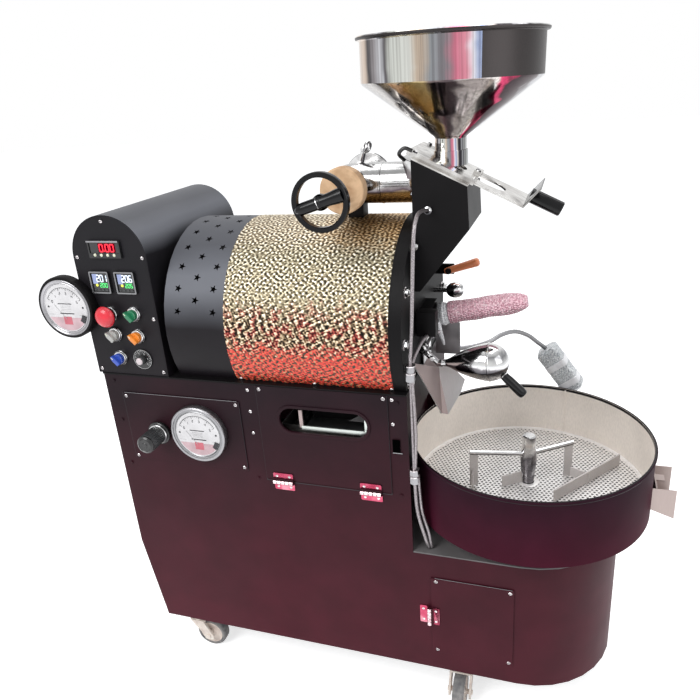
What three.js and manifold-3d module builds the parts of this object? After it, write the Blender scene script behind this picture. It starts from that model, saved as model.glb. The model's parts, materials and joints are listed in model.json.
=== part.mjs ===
// A gas drum coffee roaster on castors: cabinet, control box, drum in its cover, feed hopper,
// exhaust damper, sampler, discharge door, and a stirred cooling bin on the low end.
// Millimetres, +Z up. X runs from the control end to the bin end, Y from front to back.
import * as THREE from "three";
import { mergeVertices } from "three/addons/utils/BufferGeometryUtils.js";
import Module from "manifold-3d";

const wasm = await Module();
wasm.setup();

// Clearances and general sheet sizes
const seatGap = 0.3;
const runGap = 1.5;
const overrun = 20;
const arcSides = 40;
const binSides = 36;
const planSides = 16;
const sheet = 2;
const panelSheet = 2.5;
const screwR = 3.2;
const screwHead = 2;

// Cabinet
const cabinetDepth = 350;
const upperLength = 627;
const endCentreX = 826;
const underside = 100;
const tableTop = 719;
const shelfTop = 387;
const tableSheet = 3;
const nicheDepth = 42;
const nicheTop = 640;
const chamferIn = 30;
const chamferTop = 306;
const frameTube = 30;

// Front panels and doors
const gaugePanelLeft = 38;
const gaugePanelRight = 298;
const gaugePanelTop = 678;
const gaugePanelBottom = 526;
const panelInset = 14;
const gaugeCentreX = 204.6;
const gaugeCentreZ = 604.5;
const gaugeR = 60;
const gaugeDepth = 14;
const gaugeBezel = 6;
const gaugeBoss = 34;
const regulatorX = 112;
const regulatorZ = 596;
const regulatorKnobR = 19;
const regulatorKnobLength = 46;
const regulatorCollarR = 24;
const regulatorCollar = 6;
const regulatorBodyR = 30;
const regulatorBodyLength = 70;
const accessLeft = 338;
const accessRight = 592;
const accessTop = 716;
const accessBottom = 511;
const slotLeft = 381;
const slotRight = 553;
const slotCentreZ = 650;
const slotHalfHeight = 20;
const accessHingeXs = [374, 552];
const lowerLeft = 656;
const lowerRight = 817;
const lowerTop = 331;
const lowerBottom = 146;
const lowerHingeZ = 239;
const hingeLeaf = 38;
const hingeLength = 42;
const hingePinR = 4;
const hingeStandoff = 6.5;

// Control box
const boxLeft = -9;
const boxRight = 152;
const boxSpring = 956;
const boxArch = 79;
const boxDepth = cabinetDepth;
const boxWall = 2;
const faceSheet = 3;
const timerX = 67;
const timerZ = 972;
const timerWidth = 70;
const timerHeight = 32;
const controllerXs = [43, 99];
const controllerZ = 909;
const controllerSide = 42;
const moduleDepth = 60;
const bezelDepth = 5;
const bezelRim = 3;
const estopX = 49;
const estopZ = 845;
const estopR = 18;
const estopTravel = 5;
const selectorXs = [102, 51, 102, 52];
const selectorZs = [847, 804, 802, 755];
const selectorR = 11;
const selectorCollarR = 14;
const selectorStand = 6;
const selectorTurnDeg = -42;
const speedX = 102;
const speedZ = 754;
const speedPlateR = 19;
const speedKnobR = 11;
const controlHoleR = 6;
const sideGaugeX = -39;
const sideGaugeZ = 860;
const sideGaugeR = 62;
const sideGaugeDepth = 18;
const sideGaugeY = -2;
const sideGaugeBoss = 26;
const sideBracketWidth = 26;

// Drum, cover and end plates
const drumCentreZ = 810;
const coverR = 184.7;
const coverWall = 2;
const guardLeft = 172;
const guardRight = 295;
const coverRight = 603;
const faceRight = 625;
const drumR = 150;
const drumWall = 4;
const drumLeft = 308;
const drumRight = 594;
const drumMouthR = 96;
const shaftR = 15;
const hubLength = 60;
const drumVanes = 3;
const vaneHeight = 30;
const vaneThick = 3;
const rearPlateThick = 8;
const bearingR = 34;
const bearingLength = 22;
const starPitchDeg = 13.25;
const starFirstDeg = 14.7;
const starRows = 13;
const starR = 8.2;
const starInnerShare = 0.42;
const starColumnX = 200;
const starColumnPitch = 36.5;
const trimWidth = 10;
const trimProud = 3;
const sprocketR = 58;
const sprocketThick = 6;
const sprocketTeeth = 24;
const toothDepth = 5;
const sprocketX = 236;
const motorSprocketR = 29;
const motorSprocketTeeth = 12;
const motorCentreZ = 560;
const motorR = 42;
const motorLength = 120;
const motorShaftR = 9;
const chainWidth = 9;
const chainThick = 7;
const chainClear = 1;

// Burner
const burnerZ = 600;
const burnerTrayWidth = 190;
const burnerTrayDepth = 220;
const burnerTrayHeight = 26;
const burnerPipeR = 9;
const burnerBarCount = 3;
const railHeight = 10;

// Feed chute, gate and hopper
const chuteFront = 100;
const chuteBack = 250;
const chuteTopLeftZ = 1101;
const chuteTopRightX = 718;
const chuteTopRightZ = 1055;
const chuteNoseX = 721;
const chuteNoseZ = 984;
const chuteFootX = 634;
const chuteFootZ = 884;
const chuteWall = 2.5;
const topPlate = 3;
const neckR = 27;
const neckX = 679;
const hopperConeZ = 1127;
const hopperCylZ = 1218;
const hopperRimZ = 1287;
const hopperR = 149.5;
const hopperRimR = 155.7;
const hopperWall = 2;
const rimTubeR = 3;
const gateWidth = 116;
const gatePlate = 4;
const gateReach = 172;
const gateFlange = 40;
const gateTravel = 73;
const gateCover = 32;
const railUphill = 46;
const gateHandleR = 12;
const gateHandleLength = 58;
const gateRail = 6;
const slotWidth = 50;
const gateSlotLength = 6;

// Exhaust duct, damper and handwheel
const ductX = 505;
const ductZ = 1054;
const ductR = 36;
const ductWall = 3;
const ductFlangeR = 46;
const ductFlange = 6;
const ductRiseR = 30;
const ductPortFront = 112;
const discR = 40;
const discThick = 24;
const wheelY = -15;
const wheelR = 48;
const wheelRim = 9;
const wheelThick = 14;
const spokeR = 10;
const damperShaftR = 6;
const flapR = 23;
const flapThick = 3;
const wingTilt = 0.28;
const wingReach = 40;
const wingBoltR = 5;
const wingSpan = 12;

// Sampler, discharge door, side lever, lamp
const samplerY = 171;
const samplerX = 655;
const samplerZ = 809;
const samplerTilt = 0.19;
const samplerGripR = 17.5;
const samplerGripLength = 160;
const samplerTubeR = 9;
const samplerIn = 108;
const guideR = 19;
const guideSquare = 46;
const doorY = 162;
const doorWidth = 64;
const doorThick = 6;
const doorHingeZ = 758;
const ballX = 754;
const ballY = 120;
const ballZ = 745;
const ballR = 28;
const leverHandleR = 8;
const leverHandleLength = 60;
const leverHandleTilt = 0.8;
const spoutFront = [629, 40, 762];
const spoutValleyTop = [650, 163, 702];
const spoutValleyFoot = [658, 143, 613];
const spoutRight = [[676, 150, 714], [704, 150, 685], [696, 150, 657], [671, 150, 608]];
const spoutLip = 30;
const spoutSheet = 2;
const sideLeverY = 268;
const sideLeverZ = 866;
const sideLeverX = 655;
const lugThick = 6;
const woodGripR = 8.4;
const woodGripLength = 34;
const sideLeverTilt = 0.31;
const latchY = 262;
const latchZ = 828;
const latchX = 672;
const latchKnobR = 12;
const conduitR = 5;
const lampHeadR = 17;
const lampHeadLength = 118;
const lampRoot = [upperLength, 285, 690];
const conduitRoute = [[650, 285, 690], [698, 303, 692], [730, 318, 699], [752, 345, 705], [777, 375, 702],
  [802, 400, 685], [822, 415, 664]];
const lampTip = [840, 426, 646];
const lampAim = [0.587, 0, -0.809];

// Sensor leads
const leadR = 3.2;
const ferruleR = 8;
const ferruleLength = 16;
const leadUpper = [[654, 98.5, 1018], [650, 60, 1024], [650, 20, 1020], [648, 2, 985], [641, 2, 860], [636, 2, 790]];
const leadNuts = [782, 768, 574, 560];
const leadLowerEnds = [772, 680, 570];
const leadTail = [[635, 2, 560], [638, 3, 480], [649, 8, 420], [655, 14, 391]];

// Cooling bin and stirrer
const binX = 825;
const binR = 227;
const binWall = 2.5;
const binBottom = 431;
const binRim = 566;
const binLip = 5;
const binFloorZ = 456;
const binFloorThick = 3;
const plenumR = 170;
const holeR = 5;
const holePitch = 33;
const holeRings = 5;
const hubHoleR = 12;
const postR = 10.5;
const postTop = 577;
const crossbarR = 5;
const crossbarZ = 538;
const crossbarLeft = 118;
const crossbarRight = 88;
const crossbarDeg = 22;
const paddleThick = 3;
const paddleHeight = 24;
const sidePaddle = 40;
const longPaddleFrom = [25, -77];
const longPaddleTo = [196, 22];
const linkFrom = [80, 6];
const linkTo = [112, -30];
const floorClear = 2;
const outletWidth = 84;
const outletHeight = 43;
const outletReach = 37;
const outletDrop = 15;
const outletSheet = 2;
const binGateThick = 3;
const stirMotorR = 40;
const stirMotorLength = 110;
const fanR = 84;
const fanWidth = 70;
const fanSheet = 2;

// Castors
const castorWheelR = 37;
const castorWheelWidth = 24;
const castorOffset = 26;
const forkSheet = 3;
const castorPlate = 4;
const castorPlateSide = 70;
const castorAxleR = 5;
const castorXs = [92, 712];
const rearCastorXs = [92, 860];
const castorFrontY = 38;
const castorRearInset = 60;
const castorTurnDegs = [0, -90, 0, 0];
const castorNeckR = 16;

// Materials
const paint = { black: 0x17151a, steel: 0xc9c8c4, chrome: 0xdadada, dark: 0x101012, pale: 0xd8cdb8 };
const material = (color, roughness, metalness) =>
  new THREE.MeshStandardMaterial({ color, roughness, metalness });
const powderBlack = material(paint.black, 0.5, 0.1);
const boxBlack = material(0x1d1c20, 0.45, 0.1);
const stainless = material(paint.steel, 0.28, 1);
const chrome = material(paint.chrome, 0.08, 1);
const hammered = material(0xc9a455, 0.25, 1);
const blackPlastic = material(paint.dark, 0.4, 0);
const redPlastic = material(0xc8202a, 0.35, 0);
const greenPlastic = material(0x2f9a55, 0.35, 0);
const greyPlastic = material(0xa5a5a2, 0.4, 0);
const orangePlastic = material(0xd9793a, 0.35, 0);
const bluePlastic = material(0x3d74b8, 0.35, 0);
const dialWhite = material(0xe9e6e2, 0.3, 0);
const steelDark = material(0x5a5a5c, 0.45, 0.9);
const castIron = material(0x2a2a2c, 0.6, 0.6);
const wood = material(0xc59a66, 0.6, 0);
const orangeWood = material(0xc86a3e, 0.5, 0);
const wrapPink = material(0xd79ab2, 0.3, 0);
const braid = material(0xa9aaad, 0.4, 0.8);
const palePaint = material(paint.pale, 0.5, 0.2);
const greyRubber = material(0x77777a, 0.8, 0);

// Solids
const centreY = cabinetDepth / 2;

function solid(geometry) {
  const g = (geometry.index ? geometry : mergeVertices(geometry)).clone();
  g.deleteAttribute("normal");
  g.deleteAttribute("uv");
  const m = mergeVertices(g, 1e-4);
  return new wasm.Manifold(
    new wasm.Mesh({
      numProp: 3,
      vertProperties: new Float32Array(m.attributes.position.array),
      triVerts: new Uint32Array(m.index.array),
    }),
  );
}

function geometryOf(manifold) {
  const m = manifold.getMesh();
  const g = new THREE.BufferGeometry();
  g.setAttribute("position", new THREE.BufferAttribute(new Float32Array(m.vertProperties), 3));
  g.setIndex(new THREE.BufferAttribute(new Uint32Array(m.triVerts), 1));
  g.computeVertexNormals();
  return g;
}

const join = (...parts) => parts.reduce((a, b) => a.add(b));
const cut = (from, ...tools) => tools.reduce((a, b) => a.subtract(b), from);

function block(x0, x1, y0, y1, z0, z1) {
  const g = new THREE.BoxGeometry(x1 - x0, y1 - y0, z1 - z0);
  g.translate((x0 + x1) / 2, (y0 + y1) / 2, (z0 + z1) / 2);
  return solid(g);
}

// A cylinder or cone frustum from point a to point b.
function rod(a, b, r, segments = 12, r2 = r) {
  const from = new THREE.Vector3(...a);
  const to = new THREE.Vector3(...b);
  const along = to.clone().sub(from);
  const g = new THREE.CylinderGeometry(r2, r, along.length(), segments);
  g.applyQuaternion(
    new THREE.Quaternion().setFromUnitVectors(new THREE.Vector3(0, 1, 0), along.clone().normalize()),
  );
  const middle = from.add(to).divideScalar(2);
  g.translate(middle.x, middle.y, middle.z);
  return solid(g);
}

function ball(centre, r, segments = 16) {
  const g = new THREE.SphereGeometry(r, segments, segments / 2);
  g.translate(...centre);
  return solid(g);
}

// A profile of [radius, height] points turned about a line along +Z at the given place.
function turned(profile, centre, segments = 32) {
  const g = new THREE.LatheGeometry(
    profile.map((p) => new THREE.Vector2(...p)),
    segments,
  );
  g.rotateX(Math.PI / 2);
  g.translate(...centre);
  const made = solid(g);
  if (made.volume() > 0) return made;
  const flipped = new THREE.LatheGeometry(
    [...profile].reverse().map((p) => new THREE.Vector2(...p)),
    segments,
  );
  flipped.rotateX(Math.PI / 2);
  flipped.translate(...centre);
  return solid(flipped);
}

const aimAt = (direction) =>
  new THREE.Quaternion().setFromUnitVectors(
    new THREE.Vector3(0, 0, 1),
    new THREE.Vector3(...direction).normalize(),
  );

// The same, turned about a line along the given direction.
function turnedAlong(profile, origin, direction, segments = 32) {
  const g = geometryOf(turned(profile, [0, 0, 0], segments));
  g.applyQuaternion(aimAt(direction));
  g.translate(...origin);
  return solid(g);
}

function extruded(shape, depth, curveSegments = 12) {
  return new THREE.ExtrudeGeometry(shape, { depth, bevelEnabled: false, curveSegments });
}

// An outline in X and Z, extruded along +Y from y0 to y1.
function upright(points, y0, y1) {
  const g = extruded(new THREE.Shape(points.map((p) => new THREE.Vector2(...p))), y1 - y0);
  g.rotateX(Math.PI / 2);
  g.translate(0, y1, 0);
  return solid(g);
}

function tube(points, r, steps, sides = 6) {
  const curve = new THREE.CatmullRomCurve3(points.map((p) => new THREE.Vector3(...p)));
  const ring = new THREE.Shape();
  for (let i = 0; i < sides; i++) {
    const a = (i / sides) * Math.PI * 2;
    if (i === 0) ring.moveTo(r * Math.cos(a), r * Math.sin(a));
    else ring.lineTo(r * Math.cos(a), r * Math.sin(a));
  }
  ring.closePath();
  return solid(
    new THREE.ExtrudeGeometry(ring, { steps, bevelEnabled: false, extrudePath: curve }),
  );
}

const assembly = new THREE.Group();
const machine = new THREE.Group();
assembly.add(machine);

function add(name, manifold, look, parent = machine) {
  const mesh = new THREE.Mesh(geometryOf(manifold), look);
  mesh.name = name;
  parent.add(mesh);
  return mesh;
}

// A pan-head screw whose head stands on a face that looks towards -Y.
const frontScrew = (x, y, z) => rod([x, y + sheet / 2, z], [x, y - screwHead, z], screwR, 6);

// Plan outline of the cabinet: square at the control end, half round at the bin end.
function planShape(inset) {
  const r = cabinetDepth / 2 - inset;
  const points = [new THREE.Vector2(inset, inset)];
  for (let i = 0; i <= planSides; i++) {
    const a = (i / planSides - 1 / 2) * Math.PI;
    points.push(new THREE.Vector2(endCentreX + r * Math.cos(a), centreY + r * Math.sin(a)));
  }
  points.push(new THREE.Vector2(inset, cabinetDepth - inset));
  return new THREE.Shape(points);
}

function planSolid(inset, z0, z1) {
  const g = extruded(planShape(inset), z1 - z0);
  g.translate(0, 0, z0);
  return solid(g);
}

// The wedge taken off the control end, where the end panel leans in towards the floor.
function chamferWedge(inset) {
  return upright(
    [
      [-overrun, underside - overrun],
      [chamferIn + inset, underside - overrun],
      [chamferIn + inset, underside],
      [inset, chamferTop],
      [-overrun, chamferTop],
    ],
    -overrun,
    cabinetDepth + overrun,
  );
}

const obround = (x0, x1, z, half, y0, y1) =>
  join(
    block(x0 + half, x1 - half, y0, y1, z - half, z + half),
    rod([x0 + half, y0, z], [x0 + half, y1, z], half, 24),
    rod([x1 - half, y0, z], [x1 - half, y1, z], half, 24),
  );

const nicheX = upperLength - nicheDepth;
const tableUnder = tableTop - tableSheet;
const shelfUnder = shelfTop - tableSheet;

function cabinetShell() {
  const outer = cut(planSolid(0, underside, tableTop), chamferWedge(0));
  const inner = cut(planSolid(sheet, underside - overrun, tableTop + overrun), chamferWedge(sheet));
  const across = (x0, x1, z0, z1) => block(x0, x1, sheet / 2, cabinetDepth - sheet / 2, z0, z1);
  const soffit = nicheTop - sheet;
  const walls = join(
    across(nicheX - sheet, nicheX, shelfTop, nicheTop),
    across(nicheX - sheet / 2, upperLength + overrun, soffit, nicheTop),
    across(upperLength - sheet, upperLength + overrun, soffit + sheet / 2, tableTop),
  );
  const step = block(upperLength, endCentreX + cabinetDepth, -overrun, cabinetDepth + overrun,
    shelfUnder, tableTop + overrun);
  const top = block(-overrun, endCentreX + cabinetDepth, -overrun, cabinetDepth + overrun, tableUnder, tableTop + overrun);
  const opening = (left, right, bottom, up) =>
    block(left + panelInset, right - panelInset, -overrun, sheet + overrun, bottom + panelInset, up - panelInset);
  const screws = [gaugePanelLeft / 2 + sheet, (gaugePanelRight + accessLeft) / 2, (accessRight + upperLength) / 2]
    .flatMap((x) => [tableUnder - panelInset, (accessTop + accessBottom) / 2, accessBottom].map((z) =>
      frontScrew(x, 0, z)));
  return cut(
    join(cut(outer, inner), walls, ...screws),
    step,
    top,
    opening(gaugePanelLeft, gaugePanelRight, gaugePanelBottom, gaugePanelTop),
    opening(accessLeft, accessRight, accessBottom, accessTop),
    opening(lowerLeft, lowerRight, lowerBottom, lowerTop),
  );
}

function tablePlate() {
  const plate = block(-sheet / 2, upperLength, -sheet, cabinetDepth + sheet, tableUnder, tableTop);
  const half = Math.sqrt(coverR ** 2 - (drumCentreZ - tableTop) ** 2) - coverWall * 3;
  const drumHole = block(guardLeft + rearPlateThick + coverWall, coverRight - coverWall, centreY - half, centreY + half,
    tableUnder - overrun, tableTop + overrun);
  const cableHole = rod([(boxLeft + boxRight) / 2, centreY, tableUnder - overrun],
    [(boxLeft + boxRight) / 2, centreY, tableTop + overrun], frameTube, 20);
  return cut(plate, drumHole, cableHole);
}

function shelfPlate() {
  const plate = planSolid(0, shelfUnder, shelfTop);
  const side = block(-overrun, nicheX - sheet, -overrun, cabinetDepth + overrun, shelfUnder - overrun,
    shelfTop + overrun);
  const sheets = [-overrun, cabinetDepth - sheet - seatGap].map((y) =>
    block(-overrun, upperLength + seatGap, y, y + overrun + sheet + seatGap, shelfUnder - overrun, shelfTop + overrun));
  const ring = turned(
    [
      [plenumR - sheet * 2, shelfUnder],
      [plenumR, shelfUnder],
      [plenumR, binBottom],
      [plenumR - sheet * 2, binBottom],
      [plenumR - sheet * 2, shelfUnder],
    ],
    [binX, centreY, 0],
    28,
  );
  const bore = rod([binX, centreY, shelfUnder - overrun], [binX, centreY, shelfTop + overrun],
    plenumR - sheet * 3, 28);
  return join(cut(plate, side, bore, ...sheets), ring);
}

function baseFrame() {
  const x0 = chamferIn + sheet + seatGap + overrun;
  const x1 = endCentreX + cabinetDepth / 4;
  const y0 = sheet + seatGap;
  const y1 = cabinetDepth - sheet - seatGap;
  const z0 = underside;
  const z1 = underside + frameTube;
  const rails = join(
    block(x0, endCentreX, y0, y0 + frameTube, z0, z1),
    block(x0, endCentreX, y1 - frameTube, y1, z0, z1),
    block(x0, x0 + frameTube, y0, y1, z0, z1),
    block(upperLength, upperLength + frameTube, y0, y1, z0, z1),
    block(endCentreX - frameTube, endCentreX, y0, y1, z0, z1),
    ...[castorXs[0], castorXs[1], rearCastorXs[0], rearCastorXs[1]].map((x, i) => {
      const y = i < 2 ? castorFrontY : cabinetDepth - castorRearInset;
      return block(x - castorPlateSide / 2, x + castorPlateSide / 2, y - castorPlateSide / 2,
        y + castorPlateSide / 2, z0, z0 + castorPlate);
    }),
  );
  const posts = [x0, upperLength].flatMap((x) =>
    [y0, y1 - frameTube].map((y) => block(x, x + frameTube, y, y + frameTube, z0, shelfUnder - seatGap)));
  return join(rails, ...posts);
}

function gaugePanel() {
  const plate = block(gaugePanelLeft, gaugePanelRight, -panelSheet, 0, gaugePanelBottom, gaugePanelTop);
  const edge = panelInset / 2;
  const corners = [gaugePanelLeft + edge, gaugePanelRight - edge].flatMap((x) =>
    [gaugePanelBottom + edge, gaugePanelTop - edge].map((z) => frontScrew(x, -panelSheet, z)));
  return cut(
    join(plate, ...corners),
    rod([gaugeCentreX, -overrun, gaugeCentreZ], [gaugeCentreX, overrun, gaugeCentreZ], gaugeBoss + seatGap, 32),
    rod([regulatorX, -overrun, regulatorZ], [regulatorX, overrun, regulatorZ], regulatorKnobR / 2 + runGap, 20),
  );
}

function gasRegulator() {
  const pipeY = sheet + regulatorBodyLength * 0.75;
  const trayX = (accessLeft + accessRight - burnerTrayWidth) / 2;
  return join(
    rod([regulatorX, sheet, regulatorZ], [regulatorX, sheet + regulatorBodyLength, regulatorZ], regulatorBodyR, 24),
    block(regulatorX - regulatorBodyR, regulatorX + regulatorBodyR, 0, sheet * 3, regulatorZ - regulatorBodyR,
      regulatorZ + regulatorBodyR),
    rod([regulatorX, pipeY, burnerZ + burnerPipeR + sheet / 2], [trayX - seatGap, pipeY,
      burnerZ + burnerPipeR + sheet / 2], burnerPipeR, 12),
  );
}

function regulatorKnob() {
  const collar = panelSheet + sheet * 2;
  return turnedAlong([[0, 0], [regulatorKnobR / 2, 0], [regulatorKnobR / 2, collar], [regulatorCollarR, collar],
    [regulatorCollarR, collar + regulatorCollar], [regulatorKnobR, collar + regulatorCollar],
    [regulatorKnobR * 0.9, panelSheet + regulatorKnobLength], [0, panelSheet + regulatorKnobLength]],
  [0, 0, 0], [0, -1, 0], 20);
}

// A round draught gauge whose face looks along -Y.
function roundGauge(x, faceY, z, r, depth, bezel, bossR, bossDepth) {
  const rim = bezel / 2;
  return turnedAlong(
    [
      [0, -depth - bossDepth],
      [bossR, -depth - bossDepth],
      [bossR, -depth],
      [r - rim, -depth],
      [r, -depth + rim],
      [r, -rim],
      [r - rim, 0],
      [r - bezel, 0],
      [r - bezel, -rim],
      [0, -rim],
    ],
    [x, faceY, z],
    [0, -1, 0],
    24,
  );
}

function accessDoor() {
  const leaf = block(accessLeft, accessRight, -panelSheet - seatGap, -seatGap, accessBottom + hingePinR, accessTop);
  const frame = cut(
    obround(slotLeft - sheet * 3, slotRight + sheet * 3, slotCentreZ, slotHalfHeight + sheet * 3, -panelSheet - sheet,
      -seatGap),
    obround(slotLeft, slotRight, slotCentreZ, slotHalfHeight, -overrun, overrun),
  );
  const edge = panelInset / 2;
  const screws = [accessLeft + edge, accessRight - edge].map((x) => frontScrew(x, -panelSheet, accessTop - edge));
  const pins = accessHingeXs.map((x) =>
    join(
      rod([x - hingeLength / 2, -hingeStandoff, accessBottom], [x + hingeLength / 2, -hingeStandoff, accessBottom],
        hingePinR, 12),
      block(x - hingeLength / 2, x + hingeLength / 2, -panelSheet - seatGap - sheet, -panelSheet, accessBottom + hingePinR,
        accessBottom + hingeLeaf / 2),
      block(x - hingeLength / 2, x + hingeLength / 2, -hingeStandoff - sheet / 2, -panelSheet, accessBottom,
        accessBottom + hingePinR * 2),
    ));
  const open = obround(slotLeft, slotRight, slotCentreZ, slotHalfHeight, -overrun, overrun);
  return join(cut(join(leaf, ...screws), open), frame, ...pins);
}

function lowerDoor() {
  const leaf = block(lowerLeft + hingePinR, lowerRight, -panelSheet - seatGap, -seatGap, lowerBottom, lowerTop);
  const edge = panelInset / 2;
  const screws = [lowerLeft + edge * 2, lowerRight - edge].flatMap((x) =>
    [lowerBottom + edge, lowerTop - edge].map((z) => frontScrew(x, -panelSheet, z)));
  const pin = join(
    rod([lowerLeft, -hingeStandoff, lowerHingeZ - hingeLength / 2], [lowerLeft, -hingeStandoff,
      lowerHingeZ + hingeLength / 2], hingePinR, 12),
    block(lowerLeft, lowerLeft + hingeLeaf / 2, -panelSheet - seatGap - sheet, -panelSheet,
      lowerHingeZ - hingeLength / 2, lowerHingeZ + hingeLength / 2),
    block(lowerLeft, lowerLeft + hingePinR * 2, -hingeStandoff - sheet / 2, -panelSheet,
      lowerHingeZ - hingeLength / 2, lowerHingeZ + hingeLength / 2),
  );
  return join(leaf, ...screws, pin);
}

function archShape(inset) {
  const shape = new THREE.Shape();
  const half = (boxRight - boxLeft) / 2 - inset;
  const middle = (boxLeft + boxRight) / 2;
  shape.moveTo(middle - half, tableTop + inset);
  shape.lineTo(middle + half, tableTop + inset);
  shape.lineTo(middle + half, boxSpring);
  shape.absellipse(middle, boxSpring, half, boxArch - inset, 0, Math.PI, false, 0);
  shape.closePath();
  return shape;
}

function archSolid(inset, y0, y1, foot = 0) {
  const g = extruded(archShape(inset), y1 - y0, 14);
  g.rotateX(Math.PI / 2);
  g.translate(0, y1, foot);
  return solid(g);
}

function controlBox() {
  const outer = archSolid(0, 0, boxDepth);
  const inner = archSolid(boxWall, -overrun, boxDepth - boxWall);
  const gland = rod([(boxLeft + boxRight) / 2, centreY, tableTop - overrun],
    [(boxLeft + boxRight) / 2, centreY, tableTop + overrun], frameTube, 20);
  const shaftHole = rod([boxRight - overrun, centreY, drumCentreZ], [boxRight + overrun, centreY, drumCentreZ],
    shaftR * 2, 24);
  const vents = [0, 1, 2, 3, 4].map((i) =>
    block(boxLeft + overrun * 2, boxRight - overrun * 2, boxDepth - overrun, boxDepth + overrun,
      boxSpring - overrun * i, boxSpring - overrun * i + boxWall * 3));
  return cut(outer, inner, gland, shaftHole, ...vents);
}

const faceY = faceSheet;
const controlHole = (x, z, r) => rod([x, -overrun, z], [x, faceSheet + overrun, z], r, 12);

function controlPanel() {
  const plate = archSolid(boxWall + seatGap, 0, faceSheet);
  const edge = panelInset / 2 + boxWall;
  const screws = [
    [timerX + panelSheet, boxSpring + boxArch - edge],
    [boxLeft + edge, boxSpring],
    [boxRight - edge, boxSpring],
    [boxRight - edge, (boxSpring + tableTop) / 2],
    [boxLeft + edge, tableTop + edge],
    [boxRight - edge, tableTop + edge],
  ].map(([x, z]) => frontScrew(x, 0, z));
  const windows = [
    [timerX, timerZ, timerWidth, timerHeight],
    ...controllerXs.map((x) => [x, controllerZ, controllerSide, controllerSide]),
  ].map(([x, z, w, h]) =>
    block(x - w / 2 + bezelRim, x + w / 2 - bezelRim, -overrun, overrun, z - h / 2 + bezelRim, z + h / 2 - bezelRim));
  const holes = [
    controlHole(estopX, estopZ, controlHoleR + seatGap),
    controlHole(speedX, speedZ, controlHoleR + seatGap),
    ...selectorXs.map((x, i) => controlHole(x, selectorZs[i], controlHoleR + seatGap)),
  ];
  const collar = (x, z, r, stand) => rod([x, sheet, z], [x, -stand, z], r, 16);
  const collars = [
    collar(estopX, estopZ, selectorCollarR, selectorStand),
    collar(speedX, speedZ, speedPlateR, sheet),
    ...selectorXs.map((x, i) => collar(x, selectorZs[i], selectorCollarR, selectorStand)),
  ];
  return cut(join(plate, ...screws, ...collars), ...windows, ...holes);
}

// A panel instrument: a framed front that stands proud of the panel and a body behind it.
function instrument(x, z, w, h, buttons) {
  const front = block(x - w / 2, x + w / 2, -bezelDepth, 0, z - h / 2, z + h / 2);
  const recess = block(x - w / 2 + bezelRim, x + w / 2 - bezelRim, -bezelDepth - overrun, -bezelDepth + sheet,
    z - h / 2 + bezelRim * (buttons ? 3 : 1), z + h / 2 - bezelRim);
  const inset = bezelRim + seatGap;
  const body = block(x - w / 2 + inset, x + w / 2 - inset, -sheet, moduleDepth, z - h / 2 + inset, z + h / 2 - inset);
  const keys = buttons
    ? [0, 1, 2, 3].map((i) => {
      const keyX = x - w / 2 + (w * (i + 1)) / 5;
      const keyZ = z - h / 2 + bezelRim * 2;
      return rod([keyX, -bezelDepth + sheet / 2, keyZ], [keyX, -bezelDepth - sheet / 2, keyZ], sheet, 8);
    })
    : [];
  return join(cut(join(front, body), recess), ...keys);
}

// A turning knob on a spindle through the panel, with a raised bar across its face.
function selectorKnob(r, stand, barShare) {
  const spindle = turnedAlong([[0, -faceSheet * 3], [controlHoleR, -faceSheet * 3], [controlHoleR, stand + seatGap],
    [r, stand + seatGap], [r, stand + bezelDepth], [0, stand + bezelDepth]], [0, 0, 0], [0, -1, 0], 16);
  const g = geometryOf(block(-r * barShare, r * barShare, -stand - bezelDepth * 2.4, -stand - bezelDepth + sheet / 2, -r, r));
  g.rotateY(THREE.MathUtils.degToRad(selectorTurnDeg));
  return join(spindle, solid(g));
}

function estopButton() {
  return turnedAlong([[0, -faceSheet * 3], [controlHoleR, -faceSheet * 3],
    [controlHoleR, selectorStand + estopTravel + seatGap * 2], [estopR - sheet, selectorStand + estopTravel + seatGap * 2],
    [estopR, selectorStand + estopTravel + sheet * 2], [estopR - sheet, selectorStand + estopTravel + sheet * 4],
    [estopR / 2, selectorStand + estopTravel + sheet * 5], [0, selectorStand + estopTravel + sheet * 5]],
  [0, 0, 0], [0, -1, 0], 20);
}

function sideGauge() {
  const face = roundGauge(sideGaugeX, sideGaugeY - sideGaugeDepth, sideGaugeZ, sideGaugeR, sideGaugeDepth, gaugeBezel,
    sideGaugeBoss, sideGaugeBoss);
  const foot = block(boxLeft - sheet, boxLeft, sheet, sheet + sideBracketWidth, sideGaugeZ - sideBracketWidth / 2,
    sideGaugeZ + sideBracketWidth / 2);
  const arm = block(sideGaugeX, boxLeft - sheet / 2, sheet * 1.5, sheet * 3, sideGaugeZ - sideBracketWidth / 3,
    sideGaugeZ + sideBracketWidth / 3);
  return join(face, arm, foot);
}

// Arc shells stand on the table and follow the round of the drum housing.
function arcShell(x0, x1, r, wall) {
  const outer = rod([x0, centreY, drumCentreZ], [x1, centreY, drumCentreZ], r, arcSides);
  const inner = rod([x0 - overrun, centreY, drumCentreZ], [x1 + overrun, centreY, drumCentreZ], r - wall, arcSides);
  const below = block(x0 - overrun, x1 + overrun, centreY - r * 2, centreY + r * 2, drumCentreZ - r * 2, tableTop);
  return cut(outer, inner, below);
}

function starShape(r) {
  const shape = new THREE.Shape();
  const points = 5;
  for (let i = 0; i < points * 2; i++) {
    const a = (i * Math.PI) / points;
    const reach = i % 2 ? r * starInnerShare : r;
    if (i === 0) shape.moveTo(reach * Math.cos(a), reach * Math.sin(a));
    else shape.lineTo(reach * Math.cos(a), reach * Math.sin(a));
  }
  shape.closePath();
  return shape;
}

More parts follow.
